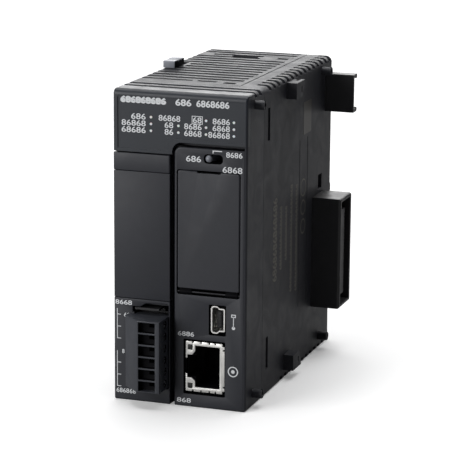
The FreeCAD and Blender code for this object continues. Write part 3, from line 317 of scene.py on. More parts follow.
def build_moulded_grain():
    """Fine spark-eroded grain: rounded bumps with scattered pits."""
    tree, source, result = new_group(
        "moulded_grain", [("Grain size", 0.3 * MM)], ["Height"])
    scale = maths(tree, "DIVIDE", 1.0, source.outputs["Grain size"])
    place = object_place(tree)
    bumps = put(tree, "TexNoise", {"Vector": place, "Scale": scale, "Detail": 2.0,
                                   "Roughness": 0.6})
    cells = put(tree, "TexVoronoi", {"Vector": place, "Scale": maths(tree, "MULTIPLY", scale, 0.7)})
    pits = put(tree, "MapRange", {"Value": cells.outputs["Distance"], "From Min": 0.05,
                                  "From Max": 0.35, "To Min": 0.0, "To Max": 1.0})
    height = maths(tree, "MULTIPLY_ADD", pits.outputs[0], 0.35, bumps.outputs["Fac"])
    tree.links.new(height, result.inputs["Height"])
    return tree


def build_handling_marks():
    """Broad faint shade changes and smeared shine, as on a part that has been handled."""
    tree, source, result = new_group("handling_marks", [("Size", 22 * MM)], ["Shade", "Shine"])
    scale = maths(tree, "DIVIDE", 1.0, source.outputs["Size"])
    place = object_place(tree)
    broad = put(tree, "TexNoise", {"Vector": place, "Scale": scale, "Detail": 3.0})
    fine = put(tree, "TexNoise", {"Vector": place, "Scale": maths(tree, "MULTIPLY", scale, 9.0),
                                  "Detail": 2.0})
    mixed = maths(tree, "MULTIPLY_ADD", fine.outputs["Fac"], 0.35, broad.outputs["Fac"])
    shade = put(tree, "MapRange", {"Value": mixed, "From Min": 0.45, "From Max": 0.9})
    smear = put(tree, "TexNoise", {"Vector": place, "Scale": maths(tree, "MULTIPLY", scale, 2.5),
                                   "Detail": 4.0, "Distortion": 1.2})
    shine = put(tree, "MapRange", {"Value": smear.outputs["Fac"], "From Min": 0.35,
                                   "From Max": 0.7})
    tree.links.new(shade.outputs[0], result.inputs["Shade"])
    tree.links.new(shine.outputs[0], result.inputs["Shine"])
    return tree


def build_edge_rub_and_glint():
    """Mask of edges that hands and neighbours have rubbed; it also paints a highlight along every edge.
    """
    tree, source, result = new_group("edge_rub", [("Radius", 0.3 * MM), ("Amount", 1.0)], ["Edge"])
    rounded = put(tree, "Bevel", {"Radius": source.outputs["Radius"]}, samples=4)
    true_normal = put(tree, "NewGeometry").outputs["Normal"]
    match = put(tree, "VectorMath", {0: rounded.outputs["Normal"], 1: true_normal},
                operation="DOT_PRODUCT").outputs["Value"]
    turned = maths(tree, "SUBTRACT", 1.0, match)
    mask = put(tree, "MapRange", {"Value": turned, "From Min": 0.02, "From Max": 0.25})
    broken = put(tree, "TexNoise", {"Vector": object_place(tree), "Scale": 380.0, "Detail": 3.0})
    patchy = put(tree, "MapRange", {"Value": broken.outputs["Fac"], "From Min": 0.3,
                                    "From Max": 0.65, "To Min": 0.35, "To Max": 1.0})
    worn = maths(tree, "MULTIPLY", mask.outputs[0], patchy.outputs[0])
    tree.links.new(maths(tree, "MULTIPLY", worn, source.outputs["Amount"]), result.inputs["Edge"])
    return tree


def build_settled_dust():
    """Mask of thin dust on upward faces."""
    tree, source, result = new_group("settled_dust", [("Amount", 0.3)], ["Dust"])
    upward = put(tree, "SeparateXYZ", {0: put(tree, "NewGeometry").outputs["Normal"]}).outputs["Z"]
    flat = put(tree, "MapRange", {"Value": upward, "From Min": 0.6, "From Max": 0.98})
    specks = put(tree, "TexNoise", {"Vector": object_place(tree), "Scale": 900.0, "Detail": 4.0})
    grains = put(tree, "MapRange", {"Value": specks.outputs["Fac"], "From Min": 0.42,
                                    "From Max": 0.66})
    lying = maths(tree, "MULTIPLY", flat.outputs[0], grains.outputs[0])
    tree.links.new(maths(tree, "MULTIPLY", lying, source.outputs["Amount"]), result.inputs["Dust"])
    return tree


def build_drawn_streaks():
    """Fine lines left by rolling or drawing metal, along the chosen stretch."""
    tree, source, result = new_group(
        "drawn_streaks", [("Across", 9000.0), ("Along", 300.0)], ["Streak", "Stain"])
    place = object_place(tree)
    stretch = put(tree, "CombineXYZ", {0: source.outputs["Across"], 1: source.outputs["Across"],
                                       2: source.outputs["Along"]}).outputs[0]
    stretched = put(tree, "VectorMath", {0: place, 1: stretch}, operation="MULTIPLY").outputs[0]
    lines = put(tree, "TexNoise", {"Vector": stretched, "Scale": 1.0, "Detail": 3.0})
    stain = put(tree, "TexNoise", {"Vector": place, "Scale": 260.0, "Detail": 4.0})
    spots = put(tree, "MapRange", {"Value": stain.outputs["Fac"], "From Min": 0.4, "From Max": 0.7})
    tree.links.new(lines.outputs["Fac"], result.inputs["Streak"])
    tree.links.new(spots.outputs[0], result.inputs["Stain"])
    return tree


GROUP_BUILDERS = {
    "moulded_grain": build_moulded_grain,
    "handling_marks": build_handling_marks,
    "edge_rub": build_edge_rub_and_glint,
    "settled_dust": build_settled_dust,
    "drawn_streaks": build_drawn_streaks,
}


def use_group(tree, name, inputs=None):
    """Places a shared group in a material, building it on first use."""
    shared = bpy.data.node_groups.get(name) or GROUP_BUILDERS[name]()
    made = tree.nodes.new("ShaderNodeGroup")
    made.node_tree = shared
    for key, value in (inputs or {}).items():
        made.inputs[key].default_value = value
    return made


def new_material(name):
    """A material with its Principled shader."""
    material = bpy.data.materials.new(name)
    material.use_nodes = True
    return material, material.node_tree, material.node_tree.nodes["Principled BSDF"]


def blend_colours(tree, factor, first, second):
    """Colour that goes from first to second as factor rises."""
    made = put(tree, "Mix", data_type="RGBA")
    given = ((made.inputs[0], factor), (made.inputs[6], first), (made.inputs[7], second))
    for socket, value in given:
        if isinstance(value, bpy.types.NodeSocket):
            tree.links.new(value, socket)
        else:
            socket.default_value = (*value, 1.0) if len(value) == 3 else value
    return made.outputs[2]


def ranged(tree, value, low, high):
    return put(tree, "MapRange", {"Value": value, "To Min": low, "To Max": high}).outputs[0]


def scaled(colour, factor):
    return tuple(min(1.0, part * factor) for part in colour[:3])


def moulded(name, colour, roughness, grain=1.0, depth=1.0, edge=0.35, dust=0.05, rounding=1.0,
            gloss=0.5):
    """Moulded plastic: grain, faint shade changes, rounded edges that are slightly rubbed and lightened
    by a painted highlight.
    """
    plastic = bpy.context.scene.module_plastic
    material, tree, shader = new_material(name)
    marks = use_group(tree, "handling_marks")
    radius = plastic.edge_radius * rounding
    rub_and_glint = use_group(tree, "edge_rub", {"Radius": radius * 1.4, "Amount": edge})
    film = use_group(tree, "settled_dust", {"Amount": dust})
    relief = use_group(tree, "moulded_grain", {"Grain size": plastic.grain * grain})
    base = blend_colours(tree, marks.outputs["Shade"], scaled(colour, 0.90), scaled(colour, 1.10))
    # Edges lightened: partly rubbed wear, partly a painted highlight.
    rubbed_and_glinting = blend_colours(tree, rub_and_glint.outputs["Edge"], base, scaled(colour, 2.6))
    dusty = blend_colours(tree, film.outputs["Dust"], rubbed_and_glinting, (0.42, 0.41, 0.39))
    tree.links.new(dusty, shader.inputs["Base Color"])
    tree.links.new(ranged(tree, marks.outputs["Shine"], roughness + 0.05, roughness - 0.05),
                   shader.inputs["Roughness"])
    rounded = put(tree, "Bevel", {"Radius": radius}, samples=4)
    bump = put(tree, "Bump", {"Height": relief.outputs["Height"], "Normal": rounded.outputs[0],
                              "Distance": plastic.grain_depth * depth, "Strength": 1.0})
    tree.links.new(bump.outputs[0], shader.inputs["Normal"])
    shader.inputs["Specular IOR Level"].default_value = gloss
    return material


def housing_plastic():
    return moulded("housing_plastic", bpy.context.scene.module_plastic.housing, 0.52, edge=0.2,
                   rounding=0.4)


def front_plastic():
    return moulded("front_plastic", bpy.context.scene.module_plastic.front, 0.50, grain=0.8)


def bezel_plastic():
    return moulded("bezel_plastic", bpy.context.scene.module_plastic.bezel, 0.42, grain=0.6,
                   depth=0.6)


def dark_plastic():
    return moulded("dark_plastic", bpy.context.scene.module_plastic.dark, 0.45, depth=0.6, edge=0.5)


def terminal_plastic():
    return moulded("terminal_plastic", bpy.context.scene.module_plastic.terminal, 0.42, grain=0.7,
                   depth=0.7, edge=0.45)


def lever_plastic():
    return moulded("lever_plastic", bpy.context.scene.module_plastic.lever, 0.40, grain=0.7,
                   edge=0.15, dust=0.02)


def metal(name, colour, roughness, stain=0.35, streak_depth=0.002 * MM, across=9000.0, along=300.0):
    """Bare or plated metal with drawn lines, dull spots, and softened edges lightened by rubbing and a
    painted highlight.
    """
    material, tree, shader = new_material(name)
    lines = use_group(tree, "drawn_streaks", {"Across": across, "Along": along})
    rub_and_glint = use_group(tree, "edge_rub", {"Radius": 0.12 * MM, "Amount": 0.6})
    spots = maths(tree, "MULTIPLY", lines.outputs["Stain"], stain)
    base = blend_colours(tree, spots, colour, scaled(colour, 0.62))
    # Edges lightened: partly rubbed wear, partly a painted highlight.
    bright = blend_colours(tree, rub_and_glint.outputs["Edge"], base, scaled(colour, 1.25))
    tree.links.new(bright, shader.inputs["Base Color"])
    shader.inputs["Metallic"].default_value = 1.0
    tree.links.new(ranged(tree, lines.outputs["Stain"], roughness, roughness + 0.14),
                   shader.inputs["Roughness"])
    rounded = put(tree, "Bevel", {"Radius": 0.08 * MM}, samples=4)
    bump = put(tree, "Bump", {"Height": lines.outputs["Streak"], "Normal": rounded.outputs[0],
                              "Distance": streak_depth, "Strength": 1.0})
    tree.links.new(bump.outputs[0], shader.inputs["Normal"])
    return material


def plated_shell():
    return metal("plated_shell", (0.92, 0.91, 0.88), 0.34, stain=0.2)


def spring_steel():
    return metal("spring_steel", (0.52, 0.52, 0.53), 0.30, across=4000.0, along=4000.0)


def zinc_screw():
    return metal("zinc_screw", (0.62, 0.65, 0.68), 0.34)


def gold_contact():
    return metal("gold_contact", (0.86, 0.62, 0.24), 0.24, stain=0.2)


def tin_contact():
    return metal("tin_contact", (0.70, 0.70, 0.68), 0.38)


# Tin of the plug's clamps, darkened as painted shade for their place deep in the wire pockets.
def dull_tin():
    return metal("dull_tin", (0.16, 0.16, 0.17), 0.50)


def blackened_steel():
    return metal("blackened_steel", (0.035, 0.035, 0.038), 0.45)


def heat_aluminium():
    return metal("heat_aluminium", (0.78, 0.79, 0.80), 0.42, across=3000.0, along=60.0)


def cell_steel():
    return metal("cell_steel", (0.68, 0.68, 0.67), 0.28, across=5000.0, along=5000.0)


def clear_guide():
    """White, slightly cloudy light guide."""
    material, tree, shader = new_material("clear_guide")
    cloud = put(tree, "TexNoise", {"Vector": object_place(tree), "Scale": 1500.0, "Detail": 3.0})
    white = blend_colours(tree, cloud.outputs["Fac"], (0.84, 0.86, 0.88), (0.94, 0.95, 0.95))
    tree.links.new(white, shader.inputs["Base Color"])
    tree.links.new(ranged(tree, cloud.outputs["Fac"], 0.16, 0.34), shader.inputs["Roughness"])
    shader.inputs["Subsurface Weight"].default_value = 0.2
    shader.inputs["Subsurface Scale"].default_value = 0.3 * MM
    shader.inputs["IOR"].default_value = 1.49
    return material


def smoke_guide():
    """Smoke-dark light guide of the network jack."""
    material, tree, shader = new_material("smoke_guide")
    cloud = put(tree, "TexNoise", {"Vector": object_place(tree), "Scale": 1100.0, "Detail": 3.0})
    smoke = blend_colours(tree, cloud.outputs["Fac"], (0.012, 0.013, 0.012),
                          (0.034, 0.036, 0.032))
    tree.links.new(smoke, shader.inputs["Base Color"])
    tree.links.new(ranged(tree, cloud.outputs["Fac"], 0.22, 0.40), shader.inputs["Roughness"])
    shader.inputs["IOR"].default_value = 1.49
    return material


def tongue_grey():
    return moulded("tongue_grey", (0.020, 0.020, 0.021), 0.50, grain=0.5, depth=0.5, gloss=0.2)


# Black of the dark inner parts; the same black is laid on faces in gaps and recesses as painted shade.
def deep_black():
    return moulded("deep_black", (0.003, 0.003, 0.004), 0.60, depth=0.5, edge=0.1, dust=0.0,
                   gloss=0.06)


def lamp_body():
    """White lamp package with a yellow window."""
    material, tree, shader = new_material("lamp_body")
    cells = put(tree, "TexVoronoi", {"Vector": object_place(tree), "Scale": 900.0})
    window = blend_colours(tree, cells.outputs["Distance"], (0.85, 0.83, 0.74),
                           (0.70, 0.58, 0.20))
    tree.links.new(window, shader.inputs["Base Color"])
    tree.links.new(ranged(tree, cells.outputs["Distance"], 0.25, 0.5), shader.inputs["Roughness"])
    return material


def board_mask():
    """Green solder mask over copper tracks, with small bright pads."""
    material, tree, shader = new_material("board_mask")
    place = object_place(tree)
    tracks = put(tree, "TexVoronoi", {"Vector": place, "Scale": 420.0}, distance="MANHATTAN")
    lines = put(tree, "TexWave", {"Vector": place, "Scale": 260.0, "Distortion": 3.0,
                                  "Detail": 1.0}, bands_direction="DIAGONAL")
    routed = put(tree, "MapRange", {"Value": lines.outputs["Fac"], "From Min": 0.62,
                                    "From Max": 0.7})
    pads = put(tree, "MapRange", {"Value": tracks.outputs["Distance"], "From Min": 0.16,
                                  "From Max": 0.12})
    mask = blend_colours(tree, routed.outputs[0], (0.010, 0.055, 0.022), (0.022, 0.110, 0.045))
    tree.links.new(blend_colours(tree, pads.outputs[0], mask, (0.72, 0.68, 0.58)),
                   shader.inputs["Base Color"])
    tree.links.new(ranged(tree, routed.outputs[0], 0.34, 0.26), shader.inputs["Roughness"])
    tree.links.new(pads.outputs[0], shader.inputs["Metallic"])
    height = maths(tree, "ADD", routed.outputs[0], pads.outputs[0])
    bump = put(tree, "Bump", {"Height": height, "Distance": 0.02 * MM, "Strength": 1.0})
    tree.links.new(bump.outputs[0], shader.inputs["Normal"])
    return material


def chip_epoxy():
    return moulded("chip_epoxy", (0.014, 0.014, 0.015), 0.55, grain=0.4, edge=0.6)


def capacitor_sleeve():
    """Dark sleeve with a pale stripe down the side that faces the rear."""
    material, tree, shader = new_material("capacitor_sleeve")
    facing = put(tree, "SeparateXYZ", {0: put(tree, "NewGeometry").outputs["Normal"]}).outputs["Y"]
    stripe = put(tree, "MapRange", {"Value": facing, "From Min": 0.86, "From Max": 0.88})
    marks = use_group(tree, "handling_marks")
    sleeve = blend_colours(tree, marks.outputs["Shade"], (0.008, 0.010, 0.016),
                           (0.014, 0.017, 0.026))
    tree.links.new(blend_colours(tree, stripe.outputs[0], sleeve, (0.50, 0.52, 0.54)),
                   shader.inputs["Base Color"])
    tree.links.new(ranged(tree, marks.outputs["Shine"], 0.36, 0.26), shader.inputs["Roughness"])
    return material


def ink(name, colour, roughness, worn):
    """Screen-printed ink, slightly broken up."""
    material, tree, shader = new_material(name)
    specks = put(tree, "TexNoise", {"Vector": object_place(tree), "Scale": 5200.0, "Detail": 3.0})
    thin = put(tree, "MapRange", {"Value": specks.outputs["Fac"], "From Min": 0.30, "From Max": 0.52})
    tree.links.new(blend_colours(tree, thin.outputs[0], scaled(colour, worn), colour),
                   shader.inputs["Base Color"])
    tree.links.new(ranged(tree, specks.outputs["Fac"], roughness - 0.08, roughness + 0.08),
                   shader.inputs["Roughness"])
    bump = put(tree, "Bump", {"Height": specks.outputs["Fac"], "Distance": 0.004 * MM,
                              "Strength": 1.0})
    tree.links.new(bump.outputs[0], shader.inputs["Normal"])
    return material


def print_white():
    return ink("print_white", tuple(bpy.context.scene.module_print.ink), 0.50, 0.80)


def print_faint():
    return ink("print_faint", tuple(bpy.context.scene.module_print.faint), 0.55, 0.75)


def label_film():
    return ink("label_film", (0.060, 0.056, 0.050), 0.42, 0.85)


MATERIAL_BUILDERS = {
    "housing": housing_plastic,
    "front_plastic": front_plastic,
    "bezel": bezel_plastic,
    "dark_plastic": dark_plastic,
    "lever_grey": lever_plastic,
    "terminal_plastic": terminal_plastic,
    "clear_guide": clear_guide,
    "lamp_white": lamp_body,
    "board_green": board_mask,
    "chip_black": chip_epoxy,
    "plated_shell": plated_shell,
    "spring_steel": spring_steel,
    "zinc_screw": zinc_screw,
    "gold_contact": gold_contact,
    "tin_contact": tin_contact,
    "dull_tin": dull_tin,
    "blackened_steel": blackened_steel,
    "smoke_guide": smoke_guide,
    "tongue_grey": tongue_grey,
    "deep_black": deep_black,
    "heat_aluminium": heat_aluminium,
    "capacitor_sleeve": capacitor_sleeve,
    "cell_steel": cell_steel,
    "print_white": print_white,
    "print_faint": print_faint,
    "label_film": label_film,
}
made_materials = {}


def finish_for(slot):
    """The material of a slot or mark, made on first use."""
    if slot not in made_materials:
        made_materials[slot] = MATERIAL_BUILDERS[slot]()
    return made_materials[slot]


# ---------------------------------------------------------------- mesh helpers
def spot(x, y, z):
    """A point from millimetres right, behind and above the housing's lower front left corner."""
    return CORNER + Vector((x, y, z)) * MM


def front_box(name):
    """Left, bottom, right and top of a node seen from the front, in millimetres from the corner."""
    low, high = (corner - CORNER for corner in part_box(name))
    return low.x / MM, low.z / MM, high.x / MM, high.z / MM


def add_piece(name, shape, finish, body, smooth=32.0):
    """Makes a finished piece from a bmesh, in place, and lets it ride on a body."""
    bmesh.ops.remove_doubles(shape, verts=shape.verts, dist=0.001 * MM)
    bmesh.ops.recalc_face_normals(shape, faces=shape.faces)
    mesh = bpy.data.meshes.new(name)
    shape.to_mesh(mesh)
    shape.free()
    mesh.shade_smooth()
    mesh.set_sharp_from_angle(angle=math.radians(smooth))
    piece = bpy.data.objects.new(name, mesh)
    bpy.context.scene.collection.objects.link(piece)
    mesh.materials.append(finish_for(finish))
    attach(piece, body)
    return piece


def dress(*names):
    """Gives CAD nodes the finish of their record slot, or the one listed for them here."""
    for name in names:
        node = frame["nodes"][name]
        for index in range(len(node.material_slots)):
            node.material_slots[index].material = finish_for(finish_of(name))


def finish_of(name):
    """The finish of a CAD node: the one listed for it here, or its record slot."""
    return OWN_FINISH.get(name, NODE_SLOTS[name])


def rounded_copy(name, radius, split=None):
    """Stands a copy of a CAD node with rounded edges in for it, split level at a height."""
    node = frame["nodes"][name]
    shape = bmesh.new()
    shape.from_mesh(node.data)
    bmesh.ops.remove_doubles(shape, verts=shape.verts, dist=WELD)
    bmesh.ops.dissolve_limit(shape, angle_limit=FLAT_ANGLE, verts=shape.verts, edges=shape.edges)
    sharp = [edge for edge in shape.edges
             if len(edge.link_faces) == 2 and edge.calc_face_angle(0) > SHARP_ANGLE]
    bmesh.ops.bevel(shape, geom=sharp, offset=radius, offset_type="OFFSET", segments=EDGE_STEPS,
                    profile=0.5, affect="EDGES", clamp_overlap=True, material=-1)
    if split is not None:
        bmesh.ops.bisect_plane(shape, geom=shape.verts[:] + shape.edges[:] + shape.faces[:],
                               plane_co=(0, 0, split), plane_no=(0, 0, 1))
    piece = add_piece(name + "_rounded", shape, finish_of(name), body_of(node)[0])
    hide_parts(name)
    return piece


def paint_shade(piece, shaded):
    """Paints shade: gives the faces of a piece that pass a test the black of inner parts."""
    piece.data.materials.append(finish_for("deep_black"))
    for face in piece.data.polygons:
        if shaded(face):
            face.material_index = 1


def paint_shade_hinge_gap():
    """Blackens the knuckles and the lowest strip of the card door as painted shade in the hinge gap."""
    strip_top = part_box("card_door_pin")[1].z + HINGE_COVER
    door = rounded_copy("card_door", 0.10 * MM, strip_top)
    paint_shade(door, lambda face: face.center.z < strip_top)


def paint_shade_plug_pockets():
    """Blackens the wire pockets in the front of the terminal plug as painted shade in their depth."""
    low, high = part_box("terminal_plug")
    first = low + Vector(((high.x - low.x) * PLUG_SOLID_SHARE, POCKET_SKIN, POCKET_SKIN))
    last = high - Vector((POCKET_SKIN, POCKET_SKIN, POCKET_SKIN))
    plug = rounded_copy("terminal_plug", 0.10 * MM)
    paint_shade(plug, lambda face: all(first[axis] < face.center[axis] < last[axis]
                                  for axis in range(3)))


def paint_shade_panel_walls():
    """Blackens the walls behind the front of the right panel and of the jack's shell as painted shade in
    those recesses.
    """
    for name, radius in SHADE_PAINTED_BEHIND.items():
        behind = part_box(name)[0].y + PANEL_SKIN
        paint_shade(rounded_copy(name, radius * MM), lambda face: face.center.y > behind)


def paint_shade_lever_cheek():
    """Blackens the right cheek of the upper lock lever as painted shade on the side turned from the
    light.
    """
    paint_shade(rounded_copy("lock_lever_top", 0.10 * MM), lambda face: face.normal.x > FACES_RIGHT)


def soft_block(shape, centre, size, edge):
    """A block with rounded edges, centred on a point."""
    place = Matrix.Translation(centre) @ Matrix.Diagonal((*size, 1.0))
    made = bmesh.ops.create_cube(shape, size=1.0, matrix=place)
    edges = {edge_of for vertex in made["verts"] for edge_of in vertex.link_edges}
    bmesh.ops.bevel(shape, geom=list(edges), offset=edge, offset_type="OFFSET", segments=2,
                    profile=0.5, affect="EDGES", clamp_overlap=True, material=-1)


# ---------------------------------------------------------------- marks
def flat_bar(shape, left, low, right, high, corner=0.0):
    """A flat rectangle in the mark plane, in millimetres, with rounded corners."""
    middle = Matrix.Translation(Vector(((left + right) / 2, (low + high) / 2, 0)) * MM)
    size = Matrix.Diagonal(Vector((abs(right - left) * MM, abs(high - low) * MM, 1, 1)))
    made = bmesh.ops.create_grid(shape, x_segments=1, y_segments=1, size=0.5, matrix=middle @ size)
    if corner:
        bmesh.ops.bevel(shape, geom=made["verts"], offset=corner * MM, offset_type="OFFSET",
                        segments=3, profile=0.5, affect="VERTICES", clamp_overlap=True, material=-1)


def flat_box(shape, left, low, right, high, line):
    """A thin outline of a rectangle in the mark plane, in millimetres."""
    flat_bar(shape, left, low, right, low + line)
    flat_bar(shape, left, high - line, right, high)
    flat_bar(shape, left, low + line, left + line, high - line)
    flat_bar(shape, right - line, low + line, right, high - line)


def flat_disc(shape, x, z, radius):
    """A flat disc in the mark plane, in millimetres."""
    place = Matrix.Translation(Vector((x, z, 0)) * MM)
    bmesh.ops.create_circle(shape, cap_ends=True, segments=36, radius=radius * MM, matrix=place)


def flat_ring(shape, x, z, radius, line):
    """A flat ring in the mark plane, in millimetres."""
    place = Matrix.Translation(Vector((x, z, 0)) * MM)
    made = bmesh.ops.create_circle(shape, cap_ends=True, segments=36, radius=radius * MM,
                                   matrix=place)
    disc = made["verts"][0].link_faces[0]
    bmesh.ops.inset_individual(shape, faces=[disc], thickness=line * MM)
    bmesh.ops.delete(shape, geom=[disc], context="FACES_ONLY")


def flat_digits(shape, text, start, end, base, cap, bold=DIGIT_BOLD, climbing=False):
    """Digits that fill the stretch from start to end on a baseline, in millimetres.

    Climbing digits run up the mark plane's second axis instead of along its first.
    """
    curve = bpy.data.curves.new("digits", "FONT")
    curve.body = text
    curve.size = cap * MM
    curve.offset = bold * MM
    curve.resolution_u = 4
    curve.fill_mode = "FRONT"
    holder = bpy.data.objects.new("digits", curve)
    bpy.context.scene.collection.objects.link(holder)
    bpy.context.view_layer.update()
    flat = bpy.data.meshes.new_from_object(holder)
    across = [vertex.co.x for vertex in flat.vertices]
    up = [vertex.co.y for vertex in flat.vertices]
    stretch = Matrix.Diagonal(((end - start) * MM / (max(across) - min(across)),
                               cap * MM / (max(up) - min(up)), 1.0, 1.0))
    fitted = stretch @ Matrix.Translation((-min(across), -min(up), 0))
    if climbing:
        fitted = Matrix.Rotation(math.radians(90), 4, "Z") @ fitted
        place = Matrix.Translation(Vector((base, start, 0)) * MM)
    else:
        place = Matrix.Translation(Vector((start, base, 0)) * MM)
    flat.transform(place @ fitted)
    shape.from_mesh(flat)
    bpy.data.objects.remove(holder)
    bpy.data.curves.remove(curve)
    bpy.data.meshes.remove(flat)


def digit_run(first, count):
    """A run of tall digits, sixes and eights in turn."""
    return "".join("68"[(first + step) % 2] for step in range(count))


def raise_ink(shape, thickness):
    """Gives flat marks the thickness of a print."""
    bmesh.ops.remove_doubles(shape, verts=shape.verts, dist=0.0005 * MM)
    made = bmesh.ops.extrude_face_region(shape, geom=shape.faces[:], use_keep_orig=True)
    lifted = [part for part in made["geom"] if isinstance(part, bmesh.types.BMVert)]
    bmesh.ops.translate(shape, verts=lifted, vec=(0, 0, thickness))


def front_plane(depth=0.0):
    """Stands the mark plane up on the front, facing forward, depth behind the front face."""
    upright = Matrix.Rotation(math.radians(90), 4, "X")
    return Matrix.Translation(CORNER + Vector((0, depth, 0))) @ upright


def right_plane():
    """Stands the mark plane up on the right side; its first axis runs to the rear."""
    turned = Matrix.Rotation(math.radians(90), 4, "Z") @ Matrix.Rotation(math.radians(90), 4, "X")
    return Matrix.Translation(Vector((CASE_RIGHT, CORNER.y, CORNER.z))) @ turned


def print_marks(name, draw, plane, finish, thickness=None):
    """Draws flat marks, thickens them and sets them on a surface of the housing."""
    shape = bmesh.new()
    draw(shape)
    raise_ink(shape, thickness or bpy.context.scene.module_print.thickness)
    bmesh.ops.transform(shape, matrix=plane, verts=shape.verts)
    return add_piece(name, shape, finish, "housing")


def lamp_spots():
    """Place across and up of each lamp, in millimetres, with its column and row."""
    low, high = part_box("lamps")
    left = (low.x - CORNER.x + LAMP_HALF) / MM
    pitch_x = (high.x - low.x - 2 * LAMP_HALF) / MM / (LAMP_COLUMNS - 1)
    top = (high.z - CORNER.z - LAMP_HALF) / MM
    pitch_z = (high.z - low.z - 2 * LAMP_HALF) / MM / (LAMP_ROWS - 1)
    for column in range(LAMP_COLUMNS):
        for row in range(LAMP_ROWS):
            yield left + column * pitch_x, top - row * pitch_z, column, row


def draw_header(shape):
    """Bold rows of digits across the top of the bezel."""
    for left, right, count, bold in HEADER_RUNS:
        flat_digits(shape, digit_run(0, count), left, right, HEADER_BASE, HEADER_CAP, bold)


def draw_lamp_numbers(shape):
    """A run of digits beside each lamp, and one framed run."""
    cap = bpy.context.scene.module_print.cap / MM
    for x, z, column, row in lamp_spots():
        count = LAMP_DIGITS[column][row]
        end = x - LAMP_DIGIT_GAP[column]
        if (column, row) == UNLIT_LAMP:
            end = x + 0.6
        start = end - count * LAMP_DIGIT_PITCH[column]
        low = z - cap / 2
        flat_digits(shape, digit_run(column + row, count), start, end, low, cap)
        if (column, row) == FRAMED_LAMP:
            flat_box(shape, start - LAMP_FRAME, low - LAMP_FRAME, end + LAMP_FRAME,
                     low + cap + LAMP_FRAME, 0.2)


def draw_switch_marks(shape):
    """Three runs of digits round the mode switch, and the hooked line above it."""
    left, low, right, high = front_box("mode_switch_body")
    flat_digits(shape, "686", left - 4.9, left, low + 0.85, 1.9)
    flat_digits(shape, "8686", right + 0.1, right + 5.4, high - 1.2, 1.7)
    flat_digits(shape, "6868", right - 1.0, right + 5.4, low - 1.85, 1.9)
    flat_bar(shape, left + 3.75, high - 0.25, left + 4.05, high + 0.7)
    flat_bar(shape, left + 4.05, high + 0.4, right - 1.2, high + 0.7)


def draw_jack_marks(shape):
    """Digits above and below the network jack, and a ring with a dot to its right."""
    left, low, right, high = front_box("jack_shield")
    middle = (low + high) / 2 - 0.35
    flat_digits(shape, "6886", left - 2.5, left + 2.9, high + 1.6, 1.5)
    flat_digits(shape, "868", left - 2.8, left + 1.9, low - 3.8, 1.5)
    flat_ring(shape, right + 2.9, middle, 1.7, 0.35)
    flat_disc(shape, right + 2.9, middle, 0.6)


def draw_service_mark(shape):
    """A small square and a dot joined by a bar, right of the service socket."""
    left, low, right, high = front_box("usb_shell")
    flat_bar(shape, right + 2.95, low + 2.7, right + 3.2, high - 2.8)
    flat_disc(shape, right + 3.075, low + 2.5, 0.55)
    flat_box(shape, right + 2.3, high - 3.0, right + 3.85, high - 2.0, 0.3)


def draw_port_marks(shape):
    """Marks round the mode switch, the service socket and the network jack."""
    draw_switch_marks(shape)
    draw_jack_marks(shape)
    draw_service_mark(shape)


def draw_terminal_marks(shape):
    """Digits and brackets left of the terminal plug."""
    for left, ticks in BRACKETS:
        inner = left + BRACKET_LINE
        flat_bar(shape, left, ticks[-1], inner, ticks[0])
        for z in ticks[1:]:
            flat_bar(shape, inner, z, BRACKET_RIGHT, z + BRACKET_LINE)
    flat_digits(shape, "8668", 0.5, 6.1, 31.3, 1.5)
    flat_digits(shape, "68", 3.4, 5.4, 27.3, 1.4)
    flat_digits(shape, "8", 2.7, 3.5, 15.3, 1.4)
    flat_digits(shape, "686868", 0.7, 7.3, 2.3, 1.5)


def draw_side_word(shape):
    """Large climbing digits on the right side."""
    flat_digits(shape, digit_run(0, 13), 35.4, 62.8, 30.4, 4.2, 0.10, climbing=True)


def draw_side_columns(shape):
    """Small climbing digits in columns, and three rings, on the right side."""
    for base, bottom, top, count in SIDE_COLUMNS:
        flat_digits(shape, digit_run(count, count), bottom, top, base, SIDE_COLUMN_CAP, 0.03,
                    climbing=True)
    for middle, radius in SIDE_RINGS:
        flat_ring(shape, SIDE_RING_BACK, middle, radius, 0.45)


def draw_label(shape):
    """Thin blank label near the top of the right side."""
    flat_bar(shape, 57.6, 78.2, 66.2, 89.0, 0.5)


def draw_mould_lines(shape):
    """Faint raised lines that frame the marks on the right side."""
    for back in MOULD_LINES:
        flat_bar(shape, back, 21.0, back + 0.25, 77.0)


class MODULE_OT_dress_frame(bpy.types.Operator):
    """Gives every CAD node its finish"""

    bl_idname = "module.dress_frame"
    bl_label = "Finish frame parts"

    def execute(self, context):
        dress(*frame["nodes"])
        return {"FINISHED"}


class MODULE_OT_rounded_parts(bpy.types.Operator):
    """Stands copies with rounded edges in for the plain mouldings, chips and metal parts, and paints
    shade black on the hinge gap, plug pockets, recessed walls and lever cheek
    """

    bl_idname = "module.rounded_parts"
    bl_label = "Rounded parts"

    def execute(self, context):
        for radius, names in ROUNDED.items():
            for name in names:
                rounded_copy(name, radius * MM)
        paint_shade_hinge_gap()
        paint_shade_plug_pockets()
        paint_shade_panel_walls()
        paint_shade_lever_cheek()
        return {"FINISHED"}


class MODULE_OT_front_marks(bpy.types.Operator):
    """Prints the marks on the front"""

    bl_idname = "module.front_marks"
    bl_label = "Front marks"

    def execute(self, context):
        sunk = front_plane(FIELD_SUNK)
        flush = front_plane()
        print_marks("header_digits", draw_header, sunk, "print_white")
        print_marks("lamp_digits", draw_lamp_numbers, sunk, "print_white")
        print_marks("port_marks", draw_port_marks, flush, "print_white")
        print_marks("terminal_marks", draw_terminal_marks, flush, "print_white")
        return {"FINISHED"}


